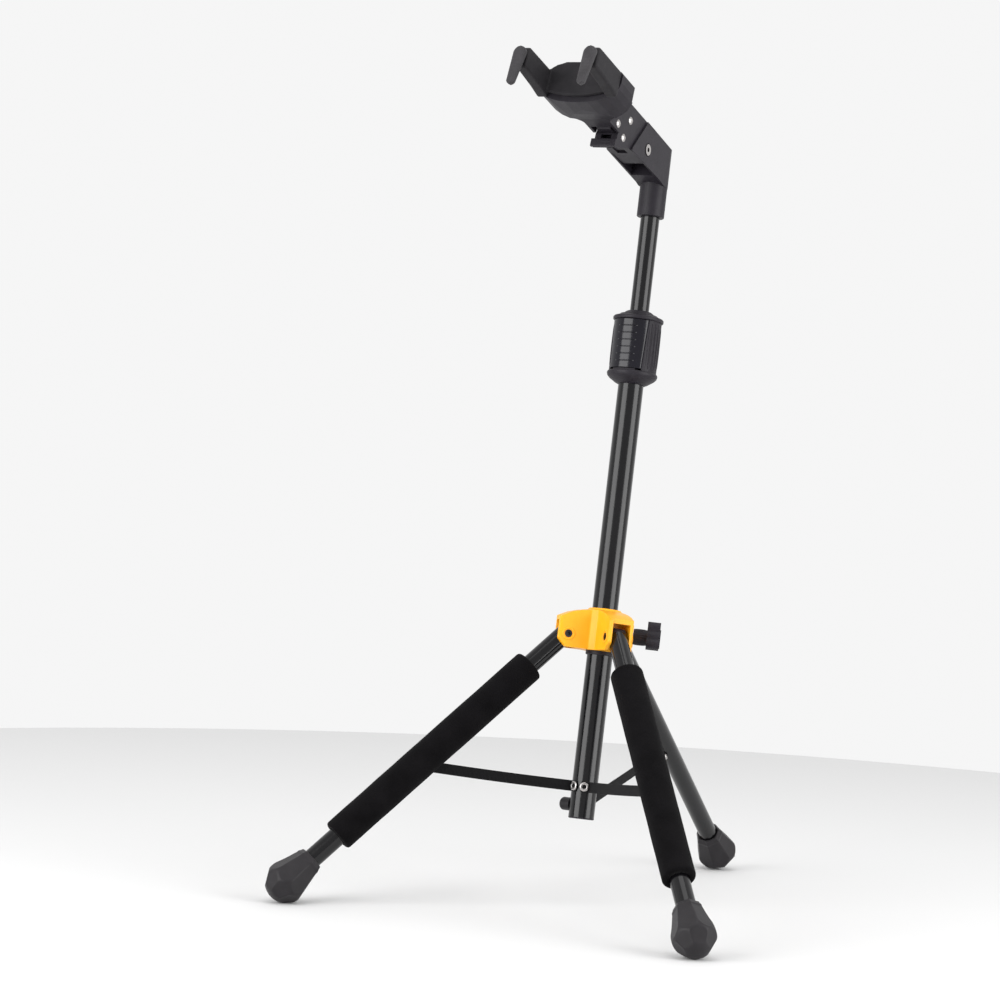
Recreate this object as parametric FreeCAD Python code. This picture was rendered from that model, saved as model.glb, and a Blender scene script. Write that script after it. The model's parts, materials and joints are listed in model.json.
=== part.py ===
import FreeCAD, Part
import math
import os

# Single guitar floor stand: a leaning two-stage mast on a folding tripod, with a cradle that closes
# two fingers round the neck of the guitar when its weight tilts the cradle down.
# Millimetres. +Z up, -Y is the front, where the guitar hangs. Right and left are +X and -X.
# The stand is built round its hub and moved at the end, so that the middle of its footprint is the origin.

V = FreeCAD.Vector
X_AXIS = V(1, 0, 0)
Y_AXIS = V(0, 1, 0)
Z_AXIS = V(0, 0, 1)

# ---- overall stance ----
mast_lean = 8.167          # degrees, the mast leans back
hub_height = 262.3         # leg pivot plane, on the mast axis, above the floor
leg_reach = 366.8          # leg pivot to the middle of the foot's bulb
leg_pivot_radius = 38.1    # mast axis to each leg pivot
front_azimuth = 48.53      # degrees from straight ahead to each front leg
foot_centre_height = 20.5  # bulb centre above the floor

# ---- tubes ----
lower_od = 25.4
upper_od = 19.0
leg_od = 19.0
tube_wall = 1.5
lower_bottom = -177.4      # stations along the mast axis, from the leg pivot plane
lower_top = 300.0
upper_bottom = -75.0
upper_top = 452.0
slip_gap = 0.05            # radial clearance of every running fit
free_gap = 0.3             # clearance between faces that pass each other

# ---- hub ----
hub_bottom = -13.0
hub_top = 27.4
hub_shoulder_radius = 30.0
hub_shoulder_top = 24.6
hub_rim_top = 28.9
hub_rim_wall = 3.5
hub_rim_radius = lower_od / 2 + hub_rim_wall
hub_barrel_radius = 21.5
hub_arm_width = 27.0
hub_arm_reach = 45.0
hub_arm_end_top = 18.6
hub_front_cheek_extra = 3.6  # how much further the cheeks beside the front valley reach
hub_valley_radius = 2.5
hub_corner_cut = 3.0
slot_headroom = 4.2         # roof of the arm's slot above the leg's rounded head
bushing_wall = 1.25
bushing_flange_width = 1.6
bushing_flange_depth = 4.0
pivot_radius = 3.0
pivot_head_radius = 3.9
pivot_head_depth = 3.0
knob_azimuth = 114.27
knob_rise = 5.5            # knob's axis above the leg pivots, along the mast
knob_boss_radius = 10.0
knob_boss_reach = 30.0
clamp_screw_radius = 4.0
clamp_insert_radius = 6.0
knob_neck_radius = 7.8
knob_neck_start = 30.6
knob_neck_end = 44.0
knob_head_end = 57.5
knob_span = 33.0
knob_lobes = 3

# ---- legs, feet, foam and straps ----
foam_od = 32.0
foam_start = 47.5
foam_end = 301.5
foot_radius = 21.0
foot_mouth_radius = 13.75
foot_mouth_offset = 33.0
strap_width = 10.5
strap_thickness = 1.6
front_strap_reach = 197.0   # leg pivot to the strap's rivet on a front leg
front_strap_rise = 30.0     # strap's mast end above the mast's bottom end
rear_strap_rise = 16.0
strap_root_gap = 0.5        # mast's wall to a strap's root line
strap_root_radius = lower_od / 2 + strap_root_gap
rivet_radius = 2.0
bumper_azimuth = -100.0
bumper_rise = 12.0
bumper_radius = 6.5
bumper_reach = 25.0

# ---- clutch ----
clutch_bottom = 254.6
clutch_cap_line = 266.8
clutch_panel_bottom = 268.3
clutch_body_top = 318.5
clutch_flange_depth = 4.0
clutch_top = 328.6
clutch_rim_radius = 25.25
clutch_body_radius = 23.7
clutch_wall = 3.2
clutch_core_wall = 3.3
clutch_core_radius = lower_od / 2 + clutch_core_wall
clutch_neck_wall = 1.2
clutch_neck_radius = lower_od / 2 + clutch_neck_wall
trigger_half_top = 18.6
trigger_half_bottom = 16.6
trigger_proud = 0.5
trigger_travel = 2.5
trigger_grooves = 6

# ---- elbow and folding link, in the head's own frame: forward and up along the cradle ----
head_rise = 11.5           # degrees, the cradle's arm above square to the mast
pivot_forward = 52.9       # fold pivot ahead of the mast axis
pivot_station = 481.6
collar_bottom = 425.0
collar_radius = 13.75
arm_top = 25.5
arm_bottom = -15.0
arm_half_width = 14.0
cheek_thickness = 2.0
arm_roof = 3.0
cavity_rear = -27.0
fold_pin_radius = 4.0
fold_pin_head_radius = 5.6
link_rear_radius = 13.5
link_top_start = 11.0
tongue_half_width = 7.5
tilt_forward = 72.8        # tilt pin, ahead of and below the fold pivot
tilt_drop = -6.2
rivet_head_radius = 4.0
rivet_head_depth = 1.6
divide_gap = 1.2
lever_forward = 52.4       # the release lever turns on the link's lower rivet
lever_drop = -11.8
lever_boss_radius = 4.6
lever_half_width = 5.0

# ---- cradle ----
cradle_rear = 107.0
cradle_face = 141.5
cradle_half_width = 44.0
neck_depth = 13.2          # underside of the cradle's neck below the fold pivot
neck_recess_front = 79.4
neck_recess_half = 11.4
prong_inner = 31.0
prong_outer = 42.5
prong_end = 196.5
prong_top = 15.0
prong_root_bottom = -11.6
prong_tip_bottom = -6.2
back_pad_thickness = 4.5
pad_lift = 3.6             # lower edge of the soft pad above the housing's rim
finger_axis_out = 36.6
finger_axis_up = 5.5
finger_shaft_radius = 3.0
finger_thickness = 7.0
finger_top_radius = 6.6
finger_tip_radius = 4.2
finger_drop = 31.5         # finger axis to the middle of its tip's rounding
finger_lean = 10.0         # degrees, the hanging finger leans forward
finger_start = 197.0


def rotation(axis, degrees):
    return FreeCAD.Rotation(axis, degrees)


def placed(origin, turn):
    return FreeCAD.Placement(origin, turn)


NO_TURN = FreeCAD.Rotation()
mast_frame = placed(V(0, 0, hub_height), rotation(X_AXIS, -mast_lean))
head_frame = mast_frame.multiply(placed(V(0, -pivot_forward, pivot_station), rotation(X_AXIS, -head_rise)))
nodes = {}


def add(name, shape, frame):
    """Keeps a sub-part, moved from its own frame into the stand's."""
    shape = shape.copy()
    shape.Placement = frame.multiply(shape.Placement)
    nodes[name] = shape


def fused(shapes):
    joined = shapes[0]
    for shape in shapes[1:]:
        joined = joined.fuse(shape)
    return joined.removeSplitter()


def rod(radius, start, end, centre=(0, 0), axis=Z_AXIS):
    """A cylinder from start to end along an axis; centre is in the two other directions, in x, y, z order."""
    if axis == X_AXIS:
        base = V(start, centre[0], centre[1])
    elif axis == Y_AXIS:
        base = V(centre[0], start, centre[1])
    else:
        base = V(centre[0], centre[1], start)
    return Part.makeCylinder(radius, end - start, base, axis)


def ring(outer, inner, start, end, centre=(0, 0), axis=Z_AXIS):
    return rod(outer, start, end, centre, axis).cut(rod(inner, start - 1, end + 1, centre, axis))


def block(x, y, z):
    """A box from its ranges along x, y and z."""
    return Part.makeBox(x[1] - x[0], y[1] - y[0], z[1] - z[0], V(x[0], y[0], z[0]))


def turned(profile):
    """A solid turned about z from (radius, height) corners."""
    wire = Part.makePolygon([V(r, 0, z) for r, z in profile] + [V(profile[0][0], 0, profile[0][1])])
    return Part.Face(wire).revolve(V(0, 0, 0), Z_AXIS, 360)


def plate_xz(points, y_start, y_end):
    """A prism along y with corners (x, z)."""
    wire = Part.makePolygon([V(x, y_start, z) for x, z in points] + [V(points[0][0], y_start, points[0][1])])
    return Part.Face(wire).extrude(V(0, y_end - y_start, 0))


def plate_xy(points, z_start, z_end):
    """A prism along z with corners (x, y)."""
    wire = Part.makePolygon([V(x, y, z_start) for x, y in points] + [V(points[0][0], points[0][1], z_start)])
    return Part.Face(wire).extrude(V(0, 0, z_end - z_start))


def side_plate(points, x_start, x_end):
    """A prism across the head with corners (forward, up)."""
    wire = Part.makePolygon([V(x_start, -h, n) for h, n in points] + [V(x_start, -points[0][0], points[0][1])])
    return Part.Face(wire).extrude(V(x_end - x_start, 0, 0))


def spring_coil(coil_radius, wire_radius, height, turns):
    """A coil spring standing on z = 0, its wire whole."""
    path = Part.makeHelix((height - 2 * wire_radius) / turns, height - 2 * wire_radius, coil_radius)
    path.translate(V(0, 0, wire_radius))
    start = Part.Wire(Part.Circle(V(coil_radius, 0, wire_radius), Y_AXIS, wire_radius).toShape())
    return Part.Wire(path).makePipeShell([start], True, True)


def arm_frame(azimuth):
    """The mast's frame turned so that -y points out along this azimuth."""
    return mast_frame.multiply(placed(V(0, 0, 0), rotation(Z_AXIS, azimuth)))


def leg_angle(azimuth):
    """The leg's angle from the mast axis that sets its foot at its height, in degrees."""
    lean = math.radians(mast_lean)
    outward_climb = math.cos(math.radians(azimuth)) * math.sin(lean)
    along = leg_reach * math.cos(lean)
    across = leg_reach * outward_climb
    drop = hub_height + outward_climb * leg_pivot_radius - foot_centre_height
    return math.degrees(math.acos(drop / math.hypot(along, across)) - math.atan2(across, along))


def leg_frame(azimuth):
    """A leg's frame: it runs from its pivot along -z, with the mast on its +y side."""
    return arm_frame(azimuth).multiply(
        placed(V(0, -leg_pivot_radius, 0), rotation(X_AXIS, -leg_angle(azimuth))))


# ---- how the tripod folds: the hub slides up until each strap is stretched along the mast again ----
front_strap_drop = -(lower_bottom + front_strap_rise)
rear_strap_drop = -(lower_bottom + rear_strap_rise)
strap_offset = leg_pivot_radius - strap_root_radius


def open_strap_end(drop, reach, azimuth):
    """(out, up) from a strap's mast end to its rivet on the open leg."""
    angle = math.radians(leg_angle(azimuth))
    return strap_offset + reach * math.sin(angle), drop - reach * math.cos(angle)


front_end = open_strap_end(front_strap_drop, front_strap_reach, front_azimuth)
front_strap_length = math.hypot(*front_end)
hub_travel = front_strap_reach - front_strap_drop + math.sqrt(front_strap_length ** 2 - strap_offset ** 2)
rear_angle = math.radians(leg_angle(180))
raised = hub_travel + rear_strap_drop
rear_strap_reach = (raised ** 2 - rear_strap_drop ** 2) / (
    2 * (raised + strap_offset * math.sin(rear_angle) - rear_strap_drop * math.cos(rear_angle)))
rear_end = open_strap_end(rear_strap_drop, rear_strap_reach, 180)
rear_strap_length = math.hypot(*rear_end)

LEGS = (
    ("left", -front_azimuth, front_strap_drop, front_strap_reach, front_end),
    ("right", front_azimuth, front_strap_drop, front_strap_reach, front_end),
    ("rear", 180.0, rear_strap_drop, rear_strap_reach, rear_end),
)


def strap_angle(end):
    return math.degrees(math.atan2(end[1], end[0]))


def folded_strap_angle(drop, reach):
    return math.degrees(math.atan2(drop + hub_travel - reach, strap_offset))


# ---- lower mast ----
def make_lower_mast():
    outer = lower_od / 2
    tube = ring(outer, outer - tube_wall, lower_bottom, lower_top)
    rivets = []
    for name, azimuth, drop, reach, end in LEGS:
        turn = placed(V(0, 0, 0), rotation(Z_AXIS, azimuth))
        hole = rod(rivet_radius, -outer - 2, -outer + 4, (0, -drop), Y_AXIS)
        shank = rod(rivet_radius, -outer - 0.6, -outer + tube_wall + 1.2, (0, -drop), Y_AXIS)
        inner_head = rod(rivet_radius + 1, -outer + tube_wall, -outer + tube_wall + 1.2, (0, -drop), Y_AXIS)
        inner_head = inner_head.common(rod(outer - tube_wall, -drop - 5, -drop + 5))
        washer = ring(5.0, 2.6, -outer - 0.6, -outer + 1.5, (0, -drop), Y_AXIS).cut(rod(outer, -drop - 8, -drop + 8))
        hole.Placement = turn
        tube = tube.cut(hole)
        rivet = fused([shank, inner_head])
        rivet.Placement = turn
        rivets.append(rivet)
    bumper_turn = placed(V(0, 0, 0), rotation(Z_AXIS, bumper_azimuth))
    station = lower_bottom + bumper_rise
    hole = rod(2.5, -outer - 2, -outer + 4, (0, station), Y_AXIS)
    hole.Placement = bumper_turn
    tube = tube.cut(hole)
    add("lower_mast_tube", tube, mast_frame)
    add("strap_anchor_rivets", Part.makeCompound(rivets), mast_frame)
    knob = rod(bumper_radius, -bumper_reach, -outer - 0.2, (0, station), Y_AXIS)
    knob = knob.makeFillet(3.2, [e for e in knob.Edges if abs(e.CenterOfMass.y + bumper_reach) < 0.01])
    neck = rod(2.5, -outer - 0.3, -outer + tube_wall + 2, (0, station), Y_AXIS)
    bumper = fused([knob, neck])
    add("foot_bumper", bumper, mast_frame.multiply(bumper_turn))
    bore = outer - tube_wall
    plug = turned([(0, lower_bottom - 1.5), (outer - 0.8, lower_bottom - 1.5), (outer, lower_bottom - 0.7),
                   (outer, lower_bottom), (bore, lower_bottom), (bore, lower_bottom + 6), (0, lower_bottom + 6)])
    add("mast_foot_plug", plug, mast_frame)


# ---- height clutch on top of the lower mast ----
def trigger_outline(gap):
    """The trigger panel's outline from the front, grown by a gap."""
    low = clutch_panel_bottom - gap + 0.4
    high = clutch_body_top + gap - 0.4
    return [(-trigger_half_bottom - gap, low), (trigger_half_bottom + gap, low),
            (trigger_half_top + gap, high), (-trigger_half_top - gap, high)]


def make_clutch():
    lower_r = lower_od / 2
    upper_r = upper_od / 2 + slip_gap
    tongue = plate_xz([(-trigger_half_bottom, clutch_cap_line - 1), (trigger_half_bottom, clutch_cap_line - 1),
                       (trigger_half_bottom, clutch_panel_bottom), (-trigger_half_bottom, clutch_panel_bottom)],
                      -clutch_body_radius, -clutch_body_radius + clutch_wall)
    tongue = tongue.common(rod(clutch_body_radius, clutch_bottom, clutch_top))
    cap = turned([(lower_r, clutch_bottom), (clutch_neck_radius, clutch_bottom), (16.4, clutch_bottom + 1.2),
                  (22.4, clutch_bottom + 5.2), (24.6, clutch_bottom + 7.6), (clutch_rim_radius, clutch_bottom + 9.6),
                  (clutch_rim_radius, clutch_cap_line - 1.2), (clutch_rim_radius - 0.8, clutch_cap_line),
                  (lower_r, clutch_cap_line)])
    cap = fused([cap, tongue])
    add("clutch_lower_cap", cap, mast_frame)
    body = ring(clutch_body_radius, clutch_body_radius - clutch_wall, clutch_cap_line, clutch_body_top)
    notch = block((-trigger_half_bottom - 0.15, trigger_half_bottom + 0.15), (-clutch_body_radius - 2, 0),
                  (clutch_cap_line - 1, clutch_panel_bottom + 0.1))
    body = body.cut(plate_xz(trigger_outline(free_gap), -clutch_body_radius - 2, 0)).cut(notch)
    ribs = []
    for side in (-1, 1):
        for k in range(8):
            azimuth = side * (62 + 11 * k)
            rib = rod(0.9, clutch_cap_line + 3, clutch_body_top - 3, (0, -clutch_body_radius - 0.35))
            rib.Placement = placed(V(0, 0, 0), rotation(Z_AXIS, azimuth))
            ribs.append(rib)
    body = body.cut(Part.makeCompound(ribs))
    add("clutch_body", body, mast_frame)
    core = turned([(lower_r, clutch_cap_line), (clutch_core_radius, clutch_cap_line),
                   (clutch_core_radius, clutch_body_top), (upper_r, clutch_body_top),
                   (upper_r, lower_top + 0.5), (lower_r, lower_top + 0.5)])
    webs = []
    for azimuth in (90, 180, 270):
        web = block((-1.5, 1.5), (-(clutch_body_radius - clutch_wall), -clutch_core_radius + 0.5),
                    (clutch_cap_line, clutch_body_top))
        web = web.common(rod(clutch_body_radius - clutch_wall, clutch_bottom, clutch_top))
        web.Placement = placed(V(0, 0, 0), rotation(Z_AXIS, azimuth))
        webs.append(web)
    pocket = rod(4.2, -clutch_core_radius - 1, -clutch_core_radius + 1.5, (0, (clutch_panel_bottom + clutch_body_top) / 2), Y_AXIS)
    core = fused([core] + webs).cut(pocket)
    add("clutch_core", core, mast_frame)
    flange_top = clutch_body_top + clutch_flange_depth
    top = turned([(upper_r, clutch_body_top), (clutch_rim_radius - 0.7, clutch_body_top),
                  (clutch_rim_radius, clutch_body_top + 0.7), (clutch_rim_radius, flange_top - 1.0),
                  (clutch_rim_radius - 1.0, flange_top), (19.5, flange_top + 1.6), (18.9, flange_top + 2.6),
                  (14.6, flange_top + 3.9), (14.0, flange_top + 5.0), (12.0, clutch_top), (upper_r, clutch_top)])
    add("clutch_top_cap", top, mast_frame)
    shell = ring(clutch_body_radius + trigger_proud, clutch_body_radius - clutch_wall + 0.3,
                 clutch_cap_line, clutch_body_top)
    panel = shell.common(plate_xz(trigger_outline(0), -clutch_body_radius - 2, 0))
    pitch = (clutch_body_top - clutch_panel_bottom) / (trigger_grooves + 1)
    for k in range(trigger_grooves):
        z = clutch_panel_bottom + pitch * (k + 1)
        groove = ring(clutch_body_radius + 3, clutch_body_radius - 0.2, z - 0.45, z + 0.45)
        half = 9.6
        panel = panel.cut(groove.common(block((-half, half), (-40, 0), (z - 2, z + 2))))
    add("clutch_trigger", panel, mast_frame)
    spring = spring_coil(3.2, 0.5, clutch_body_radius - clutch_wall + 0.3 - (clutch_core_radius - 1.5) - 0.5, 4)
    middle = (clutch_panel_bottom + clutch_body_top) / 2
    spring_frame = placed(V(0, -(clutch_core_radius - 1.5) - 0.1, middle), rotation(X_AXIS, 90))
    add("trigger_spring", spring, mast_frame.multiply(spring_frame))


# ---- upper mast with the elbow ----
def make_upper_mast():
    outer = upper_od / 2
    tube = ring(outer, outer - tube_wall, upper_bottom, upper_top)
    add("upper_mast_tube", tube, mast_frame)
    bush_outer = lower_od / 2 - tube_wall - slip_gap
    bush = turned([(outer, upper_bottom), (bush_outer, upper_bottom), (bush_outer, upper_bottom + 22),
                   (outer + 0.8, upper_bottom + 24), (outer, upper_bottom + 24)])
    lip = turned([(outer - tube_wall, upper_bottom - 2), (bush_outer - 0.8, upper_bottom - 2),
                  (bush_outer, upper_bottom - 1.2), (bush_outer, upper_bottom), (outer - tube_wall, upper_bottom)])
    add("tube_guide_bush", fused([bush, lip]), mast_frame)


def head_to_mast(h, n):
    """A point of the head's frame as (y, station) in the mast's."""
    rise = math.radians(head_rise)
    return (-pivot_forward - h * math.cos(rise) + n * math.sin(rise),
            pivot_station + h * math.sin(rise) + n * math.cos(rise))


def elbow_blank(half_width):
    """The elbow's arm between two planes, in the mast's frame."""
    corner = head_to_mast(-57.5, arm_top)
    points = [(arm_half_width + 0.5, collar_bottom + 30), (arm_half_width + 0.2, corner[1] - 5),
              (corner[0] - 3.2, corner[1] + 0.2), head_to_mast(10.0, arm_top), head_to_mast(17.5, 12.7),
              head_to_mast(32.8, -12.5), head_to_mast(33.2, arm_bottom),
              head_to_mast(-43.0, arm_bottom), (-collar_radius / 2, collar_bottom + 31)]
    wire = Part.makePolygon([V(-half_width, y, z) for y, z in points] + [V(-half_width, points[0][0], points[0][1])])
    return Part.Face(wire).extrude(V(2 * half_width, 0, 0))


def make_elbow():
    outer = upper_od / 2
    arm = elbow_blank(arm_half_width)
    upright = [e for e in arm.Edges if abs(abs(e.CenterOfMass.x) - arm_half_width) < 0.01
               and e.Length > 40 and e.CenterOfMass.z > collar_bottom + 60]
    arm = arm.makeFillet(1.4, upright)
    collar = rod(collar_radius, collar_bottom, collar_bottom + 36)
    collar = collar.makeFillet(0.8, [e for e in collar.Edges if abs(e.CenterOfMass.z - collar_bottom) < 0.01])
    shoulder = rod(collar_radius, collar_bottom + 20, head_to_mast(-48, 10)[1])
    shoulder = shoulder.common(elbow_blank(30))
    round_back = rod(arm_half_width, collar_bottom - 1, 560)
    front_room = block((-arm_half_width, arm_half_width), (-140, 0), (collar_bottom - 1, 560))
    elbow = fused([arm, collar, shoulder]).common(round_back.fuse(front_room))
    inner = arm_half_width - cheek_thickness
    cavity = side_plate([(cavity_rear, arm_bottom - 10), (60, arm_bottom - 10), (60, arm_top + 10),
                         (10.5, arm_top + 10), (10.5, arm_top - arm_roof), (-16, arm_top - arm_roof),
                         (cavity_rear, 12)], -inner, inner)
    to_mast = placed(V(0, -pivot_forward, pivot_station), rotation(X_AXIS, -head_rise))
    cavity.Placement = to_mast
    pin_hole = rod(fold_pin_radius, -20, 20, axis=X_AXIS)
    recess = Part.makeCompound([rod(fold_pin_head_radius + 1.2, side * arm_half_width - 0.7,
                                    side * arm_half_width + 0.7, axis=X_AXIS) for side in (-1, 1)])
    pin_hole.Placement = to_mast
    recess.Placement = to_mast
    bore = rod(outer, collar_bottom - 1, upper_top)
    elbow = elbow.cut(cavity).cut(pin_hole).cut(recess).cut(bore)
    add("neck_elbow", elbow, mast_frame)
    length = arm_half_width - 0.7
    pin = rod(fold_pin_radius, -length, length, axis=X_AXIS)
    heads = [rod(fold_pin_head_radius, side * length if side > 0 else -length - 1.3,
                 length + 1.3 if side > 0 else -length, axis=X_AXIS) for side in (-1, 1)]
    pin = fused([pin] + heads).cut(rod(2.2, -20, 20, axis=X_AXIS))
    add("fold_pin", pin, head_frame)


# ---- folding link, its release lever and the tilt pin ----
def divide_line(n):
    """How far forward the joint between link and cradle lies at a height."""
    return 52.0 + (arm_top - n) * 18.3 / 51.1


def make_link():
    half = arm_half_width - cheek_thickness - 0.1
    body = side_plate([(-2, -link_rear_radius), (20, arm_bottom + 0.4), (38.7, -16), (66, -28.5),
                       (66, -13.4), (divide_line(-13.4), -13.4), (divide_line(arm_top), arm_top), (link_top_start, arm_top),
                       (link_top_start, arm_top - arm_roof - 0.8), (4, arm_top - arm_roof - 0.8),
                       (-2, link_rear_radius)], -half, half)
    rear = rod(link_rear_radius, -half, half, axis=X_AXIS)
    tongue = side_plate([(50, 12), (66, 6), (80, 2.2), (92, 2.2), (92, -0.8), (79.0, -0.8), (77.6, -4.0),
                         (77.4, -10), (74, -12.8), (60, -12.8), (50, -10)], -tongue_half_width, tongue_half_width)
    link = fused([body, rear, tongue])
    channel_half = lever_half_width + 0.4
    channel = side_plate([(24, -40), (80, -40), (80, -14.2), (64, -14.2), (58.5, -5.4), (46.5, -5.4),
                          (38, -6.6), (24, -6.6)], -channel_half, channel_half)
    link = link.cut(channel)
    link = link.cut(rod(fold_pin_radius + slip_gap, -20, 20, axis=X_AXIS))
    link = link.cut(rod(2.5, -20, 20, (-tilt_forward, tilt_drop), X_AXIS))
    for h, n in link_rivet_points:
        link = link.cut(rod(2.5, -20, 20, (-h, n), X_AXIS))
    add("fold_link", link, head_frame)
    rivets = [domed_pin(2.5, half, h, n) for h, n in link_rivet_points]
    add("link_rivets", Part.makeCompound(rivets), head_frame)
    add("tilt_pin", domed_pin(2.5, arm_half_width, tilt_forward, tilt_drop), head_frame)
    spring = spring_coil(2.6, 0.45, 15.4, 6)
    add("tilt_spring", spring, head_frame.multiply(placed(V(0, -86.5, 2.5), NO_TURN)))


link_rivet_points = ((44.8, 10.2), (lever_forward, lever_drop))


def domed_pin(radius, half, h, n):
    """A rivet across the head with a low dome outside each cheek."""
    shank = rod(radius, -half, half, (-h, n), X_AXIS)
    parts = [shank]
    sphere_radius = (rivet_head_radius ** 2 + rivet_head_depth ** 2) / (2 * rivet_head_depth)
    for side in (-1, 1):
        centre = V(side * (half + rivet_head_depth - sphere_radius), -h, n)
        dome = Part.makeSphere(sphere_radius, centre)
        outside = block((half, half + 9) if side > 0 else (-half - 9, -half), (-h - 9, -h + 9), (n - 9, n + 9))
        parts.append(dome.common(outside))
    return fused(parts)


def make_release_lever():
    bar = side_plate([(27.5, -9.4), (38, -9.4), (52, -9.0), (57, -13.0), (62, -18.2), (66.6, -20.4),
                      (70, -20.4), (70, -28.6), (66.8, -28.6), (62, -23.4), (54, -17.0), (40, -15.0),
                      (27.5, -13.4)], -lever_half_width, lever_half_width)
    boss = rod(lever_boss_radius, -lever_half_width, lever_half_width, (-lever_forward, lever_drop), X_AXIS)
    tab = side_plate([(66.9, -20.4), (70.3, -20.4), (70.3, -28.6), (66.9, -28.6)], -13.2, 13.2)
    tab = tab.makeFillet(0.9, [e for e in tab.Edges if e.Length > 20])
    lever = fused([bar, tab, boss])
    lever = lever.cut(rod(2.5 + slip_gap, -20, 20, (-lever_forward, lever_drop), X_AXIS))
    add("release_lever", lever, head_frame)
    leaf = side_plate([(29, -7.0), (30, -7.0), (36, -8.3), (44, -7.2), (44, -7.7), (36, -8.9), (30, -7.5),
                       (29, -7.5)], -3, 3)
    add("lever_spring", leaf, head_frame)


# ---- cradle ----
def mirrored(points):
    """Closes a half outline by its mirror image across x = 0."""
    return points + [(-x, z) for x, z in reversed(points) if abs(x) > 0.001]


def cradle_front_outline(inset, lift=0.0):
    """The cradle from the front, as (x, up) corners, drawn in by an inset and its lower edge lifted."""
    w = cradle_half_width - inset
    top = arm_top - inset
    side_top = prong_top - inset * 0.2
    low = -16.5 + inset + lift
    return mirrored([(0, top), (16, top), (26, top - 3.2), (33, side_top + 1.4), (37, side_top), (w - 2.5, side_top),
                     (w, side_top - 2.5), (w, 4.0), (w - 1.6, -2.5), (w - 5.5, -8.0 + lift * 0.6), (w - 12, -11.6 + inset * 0.6 + lift),
                     (w - 22, low + 2.0), (w - 32, low + 0.4), (0, low)])


def make_cradle():
    plan_half = [(0, -52), (arm_half_width, -52), (arm_half_width, -89), (arm_half_width + 1.4, -93),
                 (20, -98.5), (30, -103), (38, -106), (42, -108.5), (cradle_half_width, -113),
                 (cradle_half_width, -cradle_face), (0, -cradle_face)]
    plan = mirrored(plan_half)
    side = [(divide_line(arm_top) + divide_gap, arm_top), (cradle_face, arm_top), (cradle_face, -16.5), (124, -16.5),
            (114, -15.9), (105, -14.4), (97, -neck_depth), (divide_line(-neck_depth) + divide_gap, -neck_depth)]
    body = plate_xy(plan, -30, 40)
    body = body.common(plate_xz(cradle_front_outline(0), -cradle_face - 1, -50))
    body = body.common(side_plate(side, -60, 60))
    hollow = tongue_half_width + free_gap
    inside = side_plate([(50, 30), (57, 19), (95, 19), (95, -3.0), (neck_recess_front, -3.0),
                         (neck_recess_front, -30), (50, -30)], -hollow, hollow)
    recess = side_plate([(50, -30), (neck_recess_front, -30), (neck_recess_front, -7.0),
                         (neck_recess_front - 2, -5.0), (50, -5.0)], -neck_recess_half, neck_recess_half)
    body = body.cut(inside).cut(recess)
    lip_edges = [e for e in body.Edges if abs(e.CenterOfMass.y + neck_recess_front) < 0.01
                 and abs(e.CenterOfMass.z + neck_depth) < 0.01]
    body = body.makeFillet(1.3, lip_edges)
    roof = side_plate([(divide_line(arm_top) + divide_gap, arm_top), (62, arm_top), (64, 19.0),
                       (divide_line(19) + divide_gap, 19.0)], -hollow, hollow)
    body = body.fuse(roof)
    body = body.cut(rod(2.5 + slip_gap, -20, 20, (-tilt_forward, tilt_drop), X_AXIS))
    frame_shape = prong_frame_blank()
    body = body.cut(frame_shape)
    for side_sign in (-1, 1):
        shaft = rod(finger_shaft_radius + slip_gap, -cradle_face - 1, -122.0 + 0.5,
                    (side_sign * finger_axis_out, finger_axis_up), Y_AXIS)
        body = body.cut(shaft)
    add("cradle_housing", body.removeSplitter(), head_frame)
    frame_part = frame_shape
    for side_sign in (-1, 1):
        bore = rod(finger_shaft_radius + slip_gap, -prong_end - 1, -120,
                   (side_sign * finger_axis_out, finger_axis_up), Y_AXIS)
        frame_part = frame_part.cut(bore)
    add("prong_frame", frame_part, head_frame)
    add("cradle_sleeve", make_sleeve(frame_shape), head_frame)


def prong_frame_blank():
    """The steel fork inside cradle and prongs, before its shafts' bores."""
    arms = [block((side * finger_axis_out - 4.3, side * finger_axis_out + 4.3), (-prong_end + 4, -126),
                  (finger_axis_up - 4.6, finger_axis_up + 4.6)) for side in (-1, 1)]
    bridge = block((-finger_axis_out, finger_axis_out), (-134, -126), (finger_axis_up - 4.6, finger_axis_up + 4.6))
    return fused(arms + [bridge])


def make_sleeve(frame_shape):
    parts = []
    root = cradle_face + back_pad_thickness
    for side in (-1, 1):
        prong = side_plate([(cradle_face, prong_top), (prong_end - 3, prong_top), (prong_end, prong_top - 3),
                            (prong_end, prong_tip_bottom + 2), (prong_end - 2, prong_tip_bottom),
                            (root + 14, prong_root_bottom + 2.6), (cradle_face, prong_root_bottom)],
                           prong_inner if side > 0 else -prong_outer, prong_outer if side > 0 else -prong_inner)
        long_edges = [e for e in prong.Edges if abs(abs(e.CenterOfMass.x) - prong_outer) < 0.01
                      and e.CenterOfMass.y < -cradle_face - 0.5]
        parts.append(prong.makeFillet(2.4, long_edges))
    back = plate_xz(cradle_front_outline(1.6, pad_lift), -root, -cradle_face)
    parts.append(back)
    sleeve = fused(parts).cut(frame_shape)
    for side in (-1, 1):
        sleeve = sleeve.cut(rod(finger_shaft_radius + slip_gap, -prong_end - 1, -cradle_face + 1,
                                (side * finger_axis_out, finger_axis_up), Y_AXIS))
    return sleeve


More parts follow.
